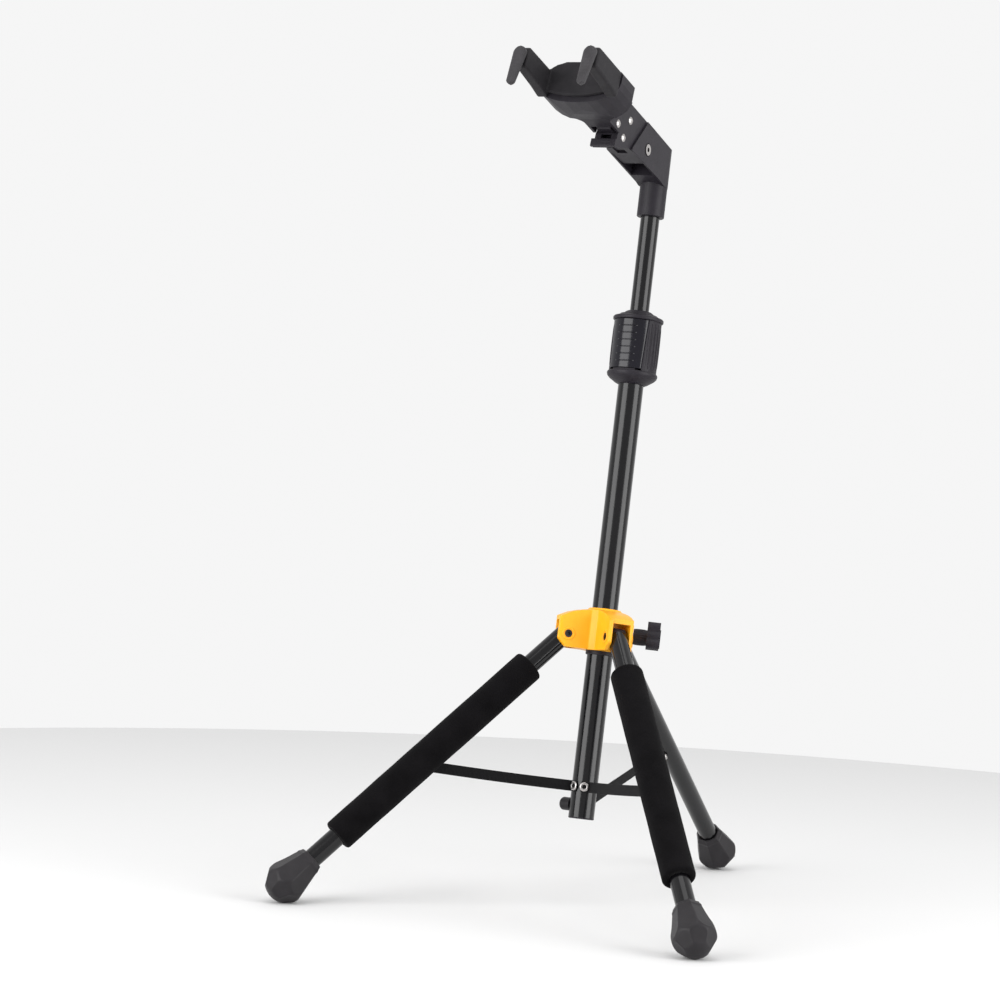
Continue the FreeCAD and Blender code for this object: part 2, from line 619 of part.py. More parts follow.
def finger_outline():
    """One hanging finger from the front, about its shaft: two round ends and straight flanks."""
    top_r = finger_top_radius
    tip_r = finger_tip_radius
    tilt = math.asin((top_r - tip_r) / finger_drop)
    cx = math.cos(tilt)
    sx = math.sin(tilt)
    right_top = V(top_r * cx, 0, -top_r * sx)
    left_top = V(-top_r * cx, 0, -top_r * sx)
    right_tip = V(tip_r * cx, 0, -finger_drop - tip_r * sx)
    left_tip = V(-tip_r * cx, 0, -finger_drop - tip_r * sx)
    return Part.Wire([
        Part.Arc(left_top, V(0, 0, top_r), right_top).toShape(), Part.LineSegment(right_top, right_tip).toShape(),
        Part.Arc(right_tip, V(0, 0, -finger_drop - tip_r), left_tip).toShape(),
        Part.LineSegment(left_tip, left_top).toShape()])


def make_fingers():
    for name, side in (("left", -1), ("right", 1)):
        shank = Part.Face(finger_outline()).extrude(V(0, -finger_thickness, 0))
        shank = shank.makeFillet(2.0, shank.Edges)
        lean = placed(V(0, -1.4, 0), rotation(X_AXIS, -finger_lean))
        shank.Placement = lean
        boss = rod(6.0, -6.5, 0, axis=Y_AXIS)
        finger = fused([shank, boss]).common(block((-20, 20), (-30, 0), (-60, 30)))
        finger = finger.cut(rod(finger_shaft_radius, -4.0, 1, axis=Y_AXIS))
        axis_point = placed(V(side * finger_axis_out, -finger_start, finger_axis_up), NO_TURN)
        add("grip_finger_" + name, finger, head_frame.multiply(axis_point))
        shaft = rod(finger_shaft_radius, -finger_start - 4.0, -122.0, (side * finger_axis_out, finger_axis_up), Y_AXIS)
        add("finger_shaft_" + name, shaft, head_frame)


# ---- hub ----
def hub_outline_solid():
    """Three arms round a barrel, with rounded valleys between them."""
    parts = [rod(hub_barrel_radius, hub_bottom, hub_top)]
    cheek_width = (hub_arm_width - leg_od) / 2 - free_gap
    for name, azimuth, drop, reach, end in LEGS:
        half = hub_arm_width / 2
        arm = block((-half, half), (-hub_arm_reach, 0), (hub_bottom, hub_top))
        ends = [e for e in arm.Edges if abs(e.CenterOfMass.y + hub_arm_reach) < 0.01 and abs(e.CenterOfMass.x) > half - 0.01]
        arm = arm.makeFillet(2.0, ends)
        if name != "rear":
            cheek_side = -1 if name == "right" else 1
            near = half - cheek_width
            cheek = block((near, half) if cheek_side > 0 else (-half, -near),
                          (-hub_arm_reach - hub_front_cheek_extra, -hub_arm_reach + 6), (hub_bottom, hub_top))
            tips = [e for e in cheek.Edges if abs(e.CenterOfMass.y + hub_arm_reach + hub_front_cheek_extra) < 0.01
                    and abs(e.Length - (hub_top - hub_bottom)) < 0.01]
            arm = arm.fuse(cheek.makeFillet(1.4, tips))
        arm.Placement = placed(V(0, 0, 0), rotation(Z_AXIS, azimuth))
        parts.append(arm)
    solid = fused(parts)
    inner = [e for e in solid.Edges if abs(e.Length - (hub_top - hub_bottom)) < 0.01
             and abs(math.hypot(e.CenterOfMass.x, e.CenterOfMass.y) - hub_barrel_radius) < 0.01]
    return solid.makeFillet(hub_valley_radius, inner)


def make_hub():
    outer = lower_od / 2
    bore_r = outer + slip_gap + bushing_wall
    solid = hub_outline_solid()
    crown = turned([(0, hub_bottom), (60, hub_bottom), (60, hub_arm_end_top - (60 - hub_arm_reach) * 0.5),
                    (hub_arm_reach, hub_arm_end_top), (38, 22.2), (hub_shoulder_radius, hub_shoulder_top),
                    (hub_rim_radius, hub_top), (0, hub_top)])
    base = turned([(0, hub_bottom), (hub_arm_reach - hub_corner_cut, hub_bottom), (60, hub_bottom + 60 - hub_arm_reach
                   + hub_corner_cut), (60, hub_top), (0, hub_top)])
    solid = solid.common(crown).common(base)
    rim = turned([(0, hub_top - 3), (hub_rim_radius + 1.6, hub_top - 3), (hub_rim_radius + 0.4, hub_top + 0.5),
                  (hub_rim_radius, hub_rim_top - 0.6), (hub_rim_radius - 0.6, hub_rim_top), (0, hub_rim_top)])
    boss = rod(knob_boss_radius, -knob_boss_reach, 0, axis=Y_AXIS)
    knob_turn = placed(V(0, 0, knob_rise), rotation(Z_AXIS, knob_azimuth))
    boss.Placement = knob_turn
    solid = fused([solid, rim, boss])
    solid = solid.cut(rod(bore_r, hub_bottom - 5, hub_rim_top + 5))
    slot_half = leg_od / 2 + free_gap
    screws = []
    nuts = []
    for name, azimuth, drop, reach, end in LEGS:
        turn = placed(V(0, 0, 0), rotation(Z_AXIS, azimuth))
        head_side = -1 if azimuth > 0 else 1
        slot = block((-slot_half, slot_half), (-hub_arm_reach - 5, -leg_pivot_radius + leg_od / 2 + 0.6),
                     (hub_bottom - 5, leg_od / 2 + slot_headroom))
        half = hub_arm_width / 2
        hole = rod(pivot_radius, -20, 20, (-leg_pivot_radius, 0), X_AXIS)
        inner_end = half - pivot_head_depth
        head_bore = rod(pivot_head_radius, inner_end if head_side > 0 else -half - 9,
                        half + 9 if head_side > 0 else -inner_end, (-leg_pivot_radius, 0), X_AXIS)
        nut_bore = rod(pivot_head_radius, -half - 9 if head_side > 0 else inner_end,
                       -inner_end if head_side > 0 else half + 9, (-leg_pivot_radius, 0), X_AXIS)
        cuts = Part.makeCompound([slot, hole, head_bore, nut_bore])
        cuts.Placement = turn
        solid = solid.cut(cuts)
        shank = rod(pivot_radius, -inner_end, inner_end, (-leg_pivot_radius, 0), X_AXIS)
        head = rod(pivot_head_radius, inner_end, half - 0.4, (-leg_pivot_radius, 0), X_AXIS)
        socket = hex_prism(2.0, half - 2.4, half + 1, -leg_pivot_radius)
        screw = fused([shank, head]).cut(socket)
        nut = rod(pivot_head_radius, -half + 0.4, -inner_end, (-leg_pivot_radius, 0), X_AXIS)
        nut_face = hex_prism(1.6, -half - 1, -half + 1.6, -leg_pivot_radius)
        nut = nut.cut(nut_face)
        for shape, group in ((screw, screws), (nut, nuts)):
            if head_side < 0:
                shape = shape.mirror(V(0, 0, 0), X_AXIS)
            shape.Placement = turn.multiply(shape.Placement)
            group.append(shape)
    insert_bore = rod(clamp_insert_radius, -knob_boss_reach - 1, -bore_r - 2.2, axis=Y_AXIS)
    screw_bore = rod(clamp_screw_radius + 0.2, -knob_boss_reach - 1, 0, axis=Y_AXIS)
    for cut in (insert_bore, screw_bore):
        cut.Placement = knob_turn
        solid = solid.cut(cut)
    add("hub_casting", solid, mast_frame)
    add("leg_pivot_screws", Part.makeCompound(screws), mast_frame)
    add("leg_pivot_nuts", Part.makeCompound(nuts), mast_frame)
    insert = ring(clamp_insert_radius, clamp_screw_radius + slip_gap, -knob_boss_reach, -bore_r - 2.2, axis=Y_AXIS)
    add("clamp_insert", insert, mast_frame.multiply(knob_turn))
    bushing_flange_radius = outer + bushing_flange_width
    bushing = turned([(outer + slip_gap, hub_bottom - bushing_flange_depth),
                      (bushing_flange_radius - 0.6, hub_bottom - bushing_flange_depth),
                      (bushing_flange_radius, hub_bottom - bushing_flange_depth + 0.6),
                      (bushing_flange_radius, hub_bottom), (bore_r, hub_bottom), (bore_r, hub_rim_top - 1.5),
                      (outer + slip_gap, hub_rim_top - 1.5)])
    window = rod(clamp_screw_radius + 0.2, -bore_r - 3, -outer + 4, axis=Y_AXIS)
    window.Placement = knob_turn
    add("hub_bushing", bushing.cut(window), mast_frame)


def hex_prism(flat_half, start, end, y):
    """A hexagonal prism along x, centred at y."""
    corner = flat_half / math.cos(math.radians(30))
    points = [V(start, y + corner * math.cos(math.radians(60 * k)), corner * math.sin(math.radians(60 * k)))
              for k in range(6)]
    return Part.Face(Part.makePolygon(points + [points[0]])).extrude(V(end - start, 0, 0))


def make_clamp_knob():
    knob_frame = mast_frame.multiply(placed(V(0, 0, knob_rise), rotation(Z_AXIS, knob_azimuth)))
    outer = lower_od / 2
    neck = rod(knob_neck_radius, -knob_neck_end, -knob_neck_start, axis=Y_AXIS)
    lobes = [rod(9.4, -knob_head_end, -knob_neck_end, axis=Y_AXIS)]
    lobe_radius = 5.2
    for k in range(knob_lobes):
        angle = math.radians(90 + 360 * k / knob_lobes)
        out = knob_span / 2 - lobe_radius
        x = out * math.cos(angle)
        z = out * math.sin(angle)
        lobes.append(rod(lobe_radius, -knob_head_end + 0.8, -knob_neck_end, (x, z), Y_AXIS))
        web = block((0, out), (-knob_head_end + 0.8, -knob_neck_end), (-lobe_radius, lobe_radius))
        web.Placement = placed(V(0, 0, 0), rotation(Y_AXIS, -math.degrees(angle)))
        lobes.append(web)
    head = fused(lobes)
    knob = fused([head, neck]).cut(rod(clamp_screw_radius, -knob_neck_end - 8, -knob_neck_start + 1, axis=Y_AXIS))
    add("clamp_knob", knob, knob_frame)
    screw = rod(clamp_screw_radius, -knob_neck_end - 8, -outer - 0.1, axis=Y_AXIS)
    add("clamp_screw", screw, knob_frame)


# ---- legs, feet, foam sleeves and straps ----
def foot_profile():
    """Half of a foot along its leg as (radius, height) corners, the bulb's round end drawn as an arc."""
    mouth = -leg_reach + foot_mouth_offset
    steps = 14
    points = [(leg_od / 2, mouth), (foot_mouth_radius - 1.0, mouth), (foot_mouth_radius, mouth - 1.0)]
    join = math.radians(22)
    for k in range(steps + 1):
        angle = join + (-math.pi / 2 - join) * k / steps
        points.append((max(0.0, foot_radius * math.cos(angle)), -leg_reach + foot_radius * math.sin(angle)))
    points[-1] = (0, -leg_reach - foot_radius)
    points += [(0, -leg_reach), (leg_od / 2, -leg_reach)]
    return points


def make_legs():
    radius = leg_od / 2
    for name, azimuth, drop, reach, end in LEGS:
        frame = leg_frame(azimuth)
        cross_bore = rod(pivot_radius + 0.4, -20, 20, axis=X_AXIS)
        tube = ring(radius, radius - tube_wall, -leg_reach, 0)
        strap_hole = rod(rivet_radius, 0, 20, (0, -reach), Y_AXIS)
        add("leg_tube_" + name, tube.cut(cross_bore).cut(strap_hole), frame)
        inner = radius - tube_wall
        plug = fused([rod(inner, -26, 0), rod(radius, 0, radius).common(rod(radius, -20, 20, axis=X_AXIS))])
        add("leg_head_plug_" + name, plug.cut(rod(pivot_radius + slip_gap, -20, 20, axis=X_AXIS)), frame)
        foot = turned(foot_profile())
        foot.Placement = frame
        floor = block((-600, 600), (-600, 600), (-50, 0))
        nodes["foot_" + name] = foot.cut(floor)
        shank = rod(rivet_radius, radius - tube_wall - 1, radius + strap_thickness + 0.4, (0, -reach), Y_AXIS)
        head = rod(rivet_radius + 1.6, radius + strap_thickness + 0.3, radius + strap_thickness + 1.5, (0, -reach), Y_AXIS)
        tail = rod(rivet_radius + 1, radius - tube_wall - 1.3, radius - tube_wall, (0, -reach), Y_AXIS)
        tail = tail.common(rod(radius - tube_wall, -reach - 6, -reach + 6))
        add("leg_strap_rivet_" + name, fused([shank, head, tail]), frame)
        if name != "rear":
            foam = ring(foam_od / 2, radius, -foam_end, -foam_start)
            rims = [e for e in foam.Edges if abs(e.Length - math.pi * foam_od) < 0.1]
            foam = foam.makeFillet(2.5, [e for e in rims if isinstance(e.Curve, Part.Circle)])
            slit = block((-strap_width / 2 - 1, strap_width / 2 + 1), (0, foam_od), (-reach - 9, -reach + 26))
            add("foam_sleeve_" + name, foam.cut(slit), frame)


def make_straps():
    for name, azimuth, drop, reach, end in LEGS:
        length = math.hypot(*end)
        angle = strap_angle(end)
        frame = arm_frame(azimuth).multiply(placed(V(0, -strap_root_radius, -drop), rotation(X_AXIS, -angle)))
        leg_side = math.radians(90 - leg_angle(azimuth) + angle)
        stop = length - (leg_od / 2 + strap_thickness + 3.4) / math.sin(leg_side)
        webbing = block((-strap_thickness / 2, strap_thickness / 2), (-stop, -1.4), (-strap_width / 2, strap_width / 2))
        add("strap_" + name, webbing, frame)


def build():
    make_lower_mast()
    make_clutch()
    make_upper_mast()
    make_elbow()
    make_link()
    make_release_lever()
    make_cradle()
    make_fingers()
    make_hub()
    make_clamp_knob()
    make_legs()
    make_straps()


def centre_on_footprint():
    """Moves every sub-part so that the middle of the stand's box, at floor level, is the origin."""
    boxes = [shape.optimalBoundingBox(False) for shape in nodes.values()]
    low = V(min(b.XMin for b in boxes), min(b.YMin for b in boxes), min(b.ZMin for b in boxes))
    high = V(max(b.XMax for b in boxes), max(b.YMax for b in boxes), max(b.ZMax for b in boxes))
    shift = V(-(low.x + high.x) / 2, -(low.y + high.y) / 2, -low.z)
    for name in nodes:
        nodes[name].translate(shift)
    print("size", [round(s, 2) for s in (high.x - low.x, high.y - low.y, high.z - low.z)])
    return shift


build()
stand_shift = centre_on_footprint()
os.makedirs("parts", exist_ok=True)
for node_name in sorted(nodes):
    solid_shape = nodes[node_name]
    solid_shape.exportStep("parts/" + node_name + ".step")
    print(node_name, "solids", len(solid_shape.Solids), "valid", solid_shape.isValid(),
          "volume", round(solid_shape.Volume, 1))
print("shift", [round(c, 3) for c in stand_shift])
print("hub travel", round(hub_travel, 2), "rear strap reach", round(rear_strap_reach, 2),
      "strap lengths", round(front_strap_length, 2), round(rear_strap_length, 2))
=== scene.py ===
# %% [markdown]
# A folding floor stand for one guitar. The engineering model gives every tube, pin and casting its place,
# and this file gives them their surface and adds the soft and the repeated things: foam sleeves, rubber
# feet, webbing straps with stitches and eyelets, rubber fingers and grip ribs.
# The frame is loaded first, because every other piece takes its place from it.

# %% The frame
import math
import bmesh
import bpy
from mathutils import Matrix, Vector, noise
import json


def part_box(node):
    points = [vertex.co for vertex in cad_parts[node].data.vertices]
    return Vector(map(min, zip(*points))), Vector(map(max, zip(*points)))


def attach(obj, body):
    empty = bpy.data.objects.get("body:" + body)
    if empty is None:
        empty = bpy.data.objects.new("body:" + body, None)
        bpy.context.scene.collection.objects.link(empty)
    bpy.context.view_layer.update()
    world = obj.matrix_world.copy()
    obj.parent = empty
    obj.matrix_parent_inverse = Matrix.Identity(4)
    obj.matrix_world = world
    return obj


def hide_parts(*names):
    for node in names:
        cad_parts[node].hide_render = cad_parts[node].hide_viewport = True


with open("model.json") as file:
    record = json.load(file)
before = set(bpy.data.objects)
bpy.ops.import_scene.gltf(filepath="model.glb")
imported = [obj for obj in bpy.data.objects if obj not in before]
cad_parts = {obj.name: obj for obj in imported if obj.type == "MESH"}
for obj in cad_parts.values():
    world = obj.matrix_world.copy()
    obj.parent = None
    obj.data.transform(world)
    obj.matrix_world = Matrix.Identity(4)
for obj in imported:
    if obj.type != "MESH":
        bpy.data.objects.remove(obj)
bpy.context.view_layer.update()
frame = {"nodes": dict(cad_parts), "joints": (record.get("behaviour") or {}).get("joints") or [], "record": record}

joints = {j["name"]: j for j in frame["joints"]}


# %% [markdown]
# The stand leans and its arm rises, so its parts are easiest to draw in their own frames: one along the
# mast, one along the cradle's arm and one along each leg. The joints say where each frame is. A matrix is
# kept for each, and a piece is drawn near the origin and carried to its place inside its mesh.

# %% Local frames
def frame_of(origin, x_dir, z_dir):
    z = Vector(z_dir).normalized()
    x = (Vector(x_dir) - Vector(x_dir).dot(z) * z).normalized()
    y = z.cross(x)
    m = Matrix((x, y, z)).transposed().to_4x4()
    m.translation = Vector(origin)
    return m


def middle(node):
    low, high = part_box(node)
    return (low + high) / 2


def joint_point(name):
    return Vector(joints[name]["pos_m"])


def circle(radius, height, steps):
    """Points at one radius about z, all at one height."""
    angles = [2 * math.pi * k / steps for k in range(steps)]
    return [Vector((radius * math.cos(a), radius * math.sin(a), height)) for a in angles]


mast_dir = Vector(joints["hub_slide"]["axis"]).normalized()
lower_bottom, lower_top = -0.1774, 0.300
mast = frame_of(middle("lower_mast_tube") - mast_dir * (lower_bottom + lower_top) / 2, (1, 0, 0), mast_dir)
arm_dir = Vector(joints["finger_left_close"]["axis"]).normalized()
head = frame_of(joint_point("head_fold"), (1, 0, 0), Vector((1, 0, 0)).cross(-arm_dir))
legs = {}
for side in ("left", "right", "rear"):
    pivot = joint_point("leg_fold_" + side)
    down = (middle("leg_tube_" + side) - pivot).normalized()
    legs[side] = frame_of(pivot, joints["leg_fold_" + side]["axis"], -down)
print("lean", round(math.degrees(math.acos(mast_dir.z)), 2),
      "arm rise", round(math.degrees(math.asin(arm_dir.z)), 2))

# %% [markdown]
# A floor stand is looked at from standing or sitting height a few metres away, so the camera has a long
# lens: it keeps the tall thin thing from looking bent. It is rolled by a few degrees, as a hand holds it.

# %% Camera
camera_data = bpy.data.cameras.new("camera")
camera = bpy.data.objects.new("camera", camera_data)
bpy.context.scene.collection.objects.link(camera)
view_azimuth, view_elevation, view_roll = (math.radians(v) for v in (27.171, 1.681, 3.043))
back = Vector((math.sin(view_azimuth) * math.cos(view_elevation),
               -math.cos(view_azimuth) * math.cos(view_elevation), math.sin(view_elevation)))
level = Vector((math.cos(view_azimuth), math.sin(view_azimuth), 0))
upright = back.cross(level)
camera_x = math.cos(view_roll) * level + math.sin(view_roll) * upright
camera_y = -math.sin(view_roll) * level + math.cos(view_roll) * upright
camera.matrix_world = Matrix((camera_x, camera_y, back)).transposed().to_4x4()
camera.location = (1.35077, -2.91393, 0.48681)
camera_data.lens = 115.5
camera_data.sensor_width = 36
camera_data.clip_end = 40
bpy.context.scene.camera = camera
print("camera", [round(c, 3) for c in camera.location])

# %% [markdown]
# A plain pale studio: a round floor, a backdrop that is palest ahead of the camera, and soft boxes. Gloss
# black tubes show nothing but what they mirror, so two broad boxes stand left and right of the camera: each
# draws one long soft band down every tube, and between them the room behind the camera is darker, so the
# tubes stay black. A broad box above fills the plastics.

# %% Floor and lights
floor_mesh = bpy.data.meshes.new("floor")
floor_radius, floor_corners = 1.5, 96
floor_mesh.from_pydata([tuple(v) for v in circle(floor_radius, 0, floor_corners)],
                       [], [tuple(range(floor_corners))])
floor = bpy.data.objects.new("floor", floor_mesh)
bpy.context.scene.collection.objects.link(floor)
floor_material = bpy.data.materials.new("pale_floor")
floor_material.use_nodes = True
floor_shader = floor_material.node_tree.nodes["Principled BSDF"]
floor_shader.inputs["Base Color"].default_value = (0.76, 0.76, 0.76, 1)
floor_shader.inputs["Roughness"].default_value = 0.9
floor_mesh.materials.append(floor_material)
world = bpy.data.worlds.new("studio")
world.use_nodes = True
room = world.node_tree
direction = room.nodes.new("ShaderNodeTexCoord").outputs["Generated"]
toward = room.nodes.new("ShaderNodeVectorMath")
toward.operation = "DOT_PRODUCT"
toward.inputs[1].default_value = (-back.x, -back.y, 0)
room.links.new(direction, toward.inputs[0])
fade = room.nodes.new("ShaderNodeMapRange")
fade.interpolation_type = "SMOOTHSTEP"
for label, value in (("From Min", -0.55), ("From Max", 0.75), ("To Min", 0.56), ("To Max", 0.92)):
    fade.inputs[label].default_value = value
room.links.new(toward.outputs["Value"], fade.inputs["Value"])
room.links.new(fade.outputs["Result"], room.nodes["Background"].inputs["Strength"])
room.nodes["Background"].inputs["Color"].default_value = (1, 1, 1, 1)
bpy.context.scene.world = world
bpy.context.scene.view_settings.view_transform = "Standard"


def soft_box(name, place, aim, width, height, power):
    data = bpy.data.lights.new(name, "AREA")
    data.shape = "RECTANGLE"
    data.size, data.size_y, data.energy = width, height, power
    lamp = bpy.data.objects.new(name, data)
    lamp.location = place
    lamp.rotation_mode = "QUATERNION"
    lamp.rotation_quaternion = (Vector(aim) - Vector(place)).to_track_quat("-Z", "Y")
    bpy.context.scene.collection.objects.link(lamp)


soft_box("left_box", (-0.95, -2.15, 0.85), (0, 0, 0.45), 1.9, 2.2, 52)
soft_box("right_box", (2.30, -0.15, 0.85), (0, 0, 0.45), 1.7, 2.2, 48)
soft_box("top_box", (0.3, -0.6, 2.6), (0, 0, 0.4), 1.8, 1.8, 15)


# %% [markdown]
# Most surfaces are one recipe with different numbers: a base colour that drifts a little from place to
# place, a roughness that drifts with it, and a fine bump for the grain. Noise on object coordinates
# gives all three, so the pattern stays on the part when it moves. Numbers that don't vary are set on the
# shader itself.

# %% A recipe for moulded, painted and plated surfaces
def link_noise(tree, coordinates, scale, detail):
    texture = tree.nodes.new("ShaderNodeTexNoise")
    texture.inputs["Scale"].default_value = scale
    texture.inputs["Detail"].default_value = detail
    tree.links.new(coordinates, texture.inputs["Vector"])
    return texture.outputs["Fac"]


def spread(tree, value, low, high):
    """Stretches the middle of a noise, where most of it lies, over low to high."""
    span = tree.nodes.new("ShaderNodeMapRange")
    span.inputs["From Min"].default_value = 0.3
    span.inputs["From Max"].default_value = 0.7
    span.inputs["To Min"].default_value = low
    span.inputs["To Max"].default_value = high
    tree.links.new(value, span.inputs["Value"])
    return span.outputs["Result"]


def colour_mix(tree, factor, dark, light):
    mix = tree.nodes.new("ShaderNodeMix")
    mix.data_type = "RGBA"
    mix.inputs["A"].default_value = (*dark, 1)
    mix.inputs["B"].default_value = (*light, 1)
    tree.links.new(factor, mix.inputs["Factor"])
    return mix.outputs["Result"]


def bump(tree, height, strength, distance, normal=None):
    node = tree.nodes.new("ShaderNodeBump")
    node.inputs["Strength"].default_value = strength
    node.inputs["Distance"].default_value = distance
    tree.links.new(height, node.inputs["Height"])
    if normal is not None:
        tree.links.new(normal, node.inputs["Normal"])
    return node.outputs["Normal"]


def surface(name, dark, light, rough, grain_scale, grain_depth, metallic=0.0, specular=0.5,
            drift_scale=35.0, sheen=0.0):
    """Two linear colours, a roughness range, and the scale and depth in metres of the grain."""
    material = bpy.data.materials.new(name)
    material.use_nodes = True
    tree = material.node_tree
    shader = tree.nodes["Principled BSDF"]
    coordinates = tree.nodes.new("ShaderNodeTexCoord").outputs["Object"]
    drift = link_noise(tree, coordinates, drift_scale, 5.0)
    tree.links.new(colour_mix(tree, spread(tree, drift, 0, 1), dark, light), shader.inputs["Base Color"])
    grain = link_noise(tree, coordinates, grain_scale, 3.0)
    tree.links.new(spread(tree, grain, *rough), shader.inputs["Roughness"])
    tree.links.new(bump(tree, grain, 0.35, grain_depth), shader.inputs["Normal"])
    shader.inputs["Metallic"].default_value = metallic
    shader.inputs["Specular IOR Level"].default_value = specular
    shader.inputs["Sheen Weight"].default_value = sheen
    return material


finishes = {
    "black_tube": surface("gloss_black_enamel", (0.0022, 0.0021, 0.0027), (0.0036, 0.0034, 0.0043),
                          (0.14, 0.20), 260, 0.00003, specular=0.44, drift_scale=18),
    "hub_yellow": surface("yellow_moulded_nylon", (0.90, 0.385, 0.007), (0.96, 0.43, 0.012),
                          (0.32, 0.44), 900, 0.00005, specular=0.35, drift_scale=60),
    "charcoal_plastic": surface("charcoal_nylon", (0.0120, 0.0102, 0.0142), (0.0175, 0.0150, 0.0200),
                                (0.40, 0.54), 1400, 0.00012, specular=0.24, drift_scale=90),
    "gloss_charcoal": surface("polished_charcoal", (0.0030, 0.0025, 0.0055), (0.0045, 0.0040, 0.0080),
                              (0.12, 0.20), 500, 0.00002, specular=0.42, drift_scale=50),
    "rubber_grey": surface("soft_grip_rubber", (0.0300, 0.0280, 0.0310), (0.0430, 0.0405, 0.0440),
                           (0.55, 0.74), 1700, 0.00014, specular=0.26, drift_scale=120, sheen=0.04),
    "foot_rubber": surface("moulded_foot_rubber", (0.0105, 0.0090, 0.0108), (0.0160, 0.0140, 0.0165),
                           (0.40, 0.56), 1100, 0.00012, specular=0.30, drift_scale=80, sheen=0.03),
    "satin_steel": surface("satin_plated_steel", (0.40, 0.385, 0.38), (0.56, 0.535, 0.52),
                           (0.22, 0.36), 800, 0.00004, metallic=1.0, drift_scale=160),
    "dark_steel": surface("blackened_steel", (0.020, 0.020, 0.022), (0.034, 0.034, 0.037),
                          (0.28, 0.42), 800, 0.00004, metallic=0.6, drift_scale=160),
}
boot_rubber = surface("soft_boot_rubber", (0.0095, 0.0085, 0.0105), (0.0150, 0.0135, 0.0160),
                      (0.55, 0.74), 1700, 0.00014, specular=0.22, drift_scale=120, sheen=0.03)
print("finishes", sorted(finishes))

# %% [markdown]
# The foam on the front legs is closed-cell rubber foam: dead matt, with cells you can just see. Cells are
# what a Voronoi pattern draws, so its distance makes the bump.

# %% Foam
foam = surface("closed_cell_foam", (0.0026, 0.0023, 0.0027), (0.0052, 0.0047, 0.0054), (0.88, 0.97), 700, 0.0002,
               specular=0.06, drift_scale=45, sheen=0.02)
tree = foam.node_tree
cells = tree.nodes.new("ShaderNodeTexVoronoi")
cells.inputs["Scale"].default_value = 850
tree.links.new(tree.nodes["Texture Coordinate"].outputs["Object"], cells.inputs["Vector"])
grain_bump = tree.nodes["Bump"].outputs["Normal"]
tree.links.new(bump(tree, cells.outputs["Distance"], 0.55, 0.0005, grain_bump),
               tree.nodes["Principled BSDF"].inputs["Normal"])
finishes["foam"] = foam
print("foam cells across a millimetre", cells.inputs["Scale"].default_value / 1000)

# %% [markdown]
# Webbing is woven ribbon: yarns cross at right angles and each shows as a small bump. The strap carries a
# UV map whose units are metres along and across it, and two waves half a step apart make the weave, so it
# follows the strap round its bends.

# %% Webbing
webbing = bpy.data.materials.new("woven_webbing")
webbing.use_nodes = True
tree = webbing.node_tree
shader = tree.nodes["Principled BSDF"]
shader.inputs["Roughness"].default_value = 0.82
shader.inputs["Specular IOR Level"].default_value = 0.15
shader.inputs["Sheen Weight"].default_value = 0.04
uv = tree.nodes.new("ShaderNodeUVMap")
uv.uv_map = "weave"
wave_scales = {"X": 230.0, "Y": 340.0}
waves = []
for direction, scale in wave_scales.items():
    wave = tree.nodes.new("ShaderNodeTexWave")
    wave.bands_direction = direction
    wave.inputs["Scale"].default_value = scale
    wave.inputs["Distortion"].default_value = 0.6
    tree.links.new(uv.outputs["UV"], wave.inputs["Vector"])
    waves.append(wave.outputs["Fac"])
crossing = tree.nodes.new("ShaderNodeMath")
crossing.operation = "MULTIPLY"
tree.links.new(waves[0], crossing.inputs[0])
tree.links.new(waves[1], crossing.inputs[1])
tree.links.new(colour_mix(tree, crossing.outputs[0], (0.0025, 0.0025, 0.003), (0.014, 0.0135, 0.015)),
               shader.inputs["Base Color"])
tree.links.new(bump(tree, crossing.outputs[0], 0.7, 0.0004), shader.inputs["Normal"])
finishes["webbing"] = webbing
stitch_thread = surface("stitch_thread", (0.02, 0.02, 0.022), (0.04, 0.04, 0.043), (0.6, 0.8), 3000, 0.0001,
                        specular=0.2)
print("webbing wave scales", wave_scales)

# %% [markdown]
# The engineering parts keep their shapes. Each takes the finish its record names. Their edges come sharp
# from the drawing, while a moulding or a casting has small rounds that catch the light, so a weld and a
# bevel are laid over the visible ones. The bevel is a modifier: the mesh under it is untouched.

# %% Finishes and soft edges on the engineering parts
slot_of = {s["node"]: s["material_slot"] for s in frame["record"]["subparts"]}
soft_edges = {"neck_elbow": 0.0005, "fold_link": 0.0005, "cradle_housing": 0.0009, "hub_casting": 0.0008,
              "clamp_knob": 0.0008, "release_lever": 0.0005, "clutch_top_cap": 0.0003,
              "clutch_lower_cap": 0.0003, "clutch_body": 0.0003}
for name, node in frame["nodes"].items():
    node.data.materials.clear()
    node.data.materials.append(finishes[slot_of[name]])
    if name in soft_edges:
        weld = node.modifiers.new("weld", "WELD")
        weld.merge_threshold = 0.00001
        bevel = node.modifiers.new("soft_edge", "BEVEL")
        bevel.width = soft_edges[name]
        bevel.segments = 2
        bevel.limit_method = "ANGLE"
        bevel.angle_limit = math.radians(32)
        bevel.use_clamp_overlap = True
print("softened", len(soft_edges))


# %% [markdown]
# Two helpers carry most of the hand-made pieces. One turns a grid of points into a closed skin, and the
# other finishes a piece: it moves the mesh to its place, points the faces outwards, gives the material
# and lets it ride on its body.

# %% Helpers for pieces
def grid_mesh(name, rows, cap_start=False, cap_end=False):
    """Rows of points, all of one length and each closed on itself, joined into a skin."""
    vertices = [p for row in rows for p in row]
    n = len(rows[0])
    faces = []
    for r in range(len(rows) - 1):
        for k in range(n):
            a, b = r * n + k, r * n + (k + 1) % n
            faces.append((a, b, b + n, a + n))
    if cap_start:
        faces.append(tuple(reversed(range(n))))
    if cap_end:
        faces.append(tuple(range((len(rows) - 1) * n, len(rows) * n)))
    mesh = bpy.data.meshes.new(name)
    mesh.from_pydata([tuple(v) for v in vertices], [], faces)
    return mesh


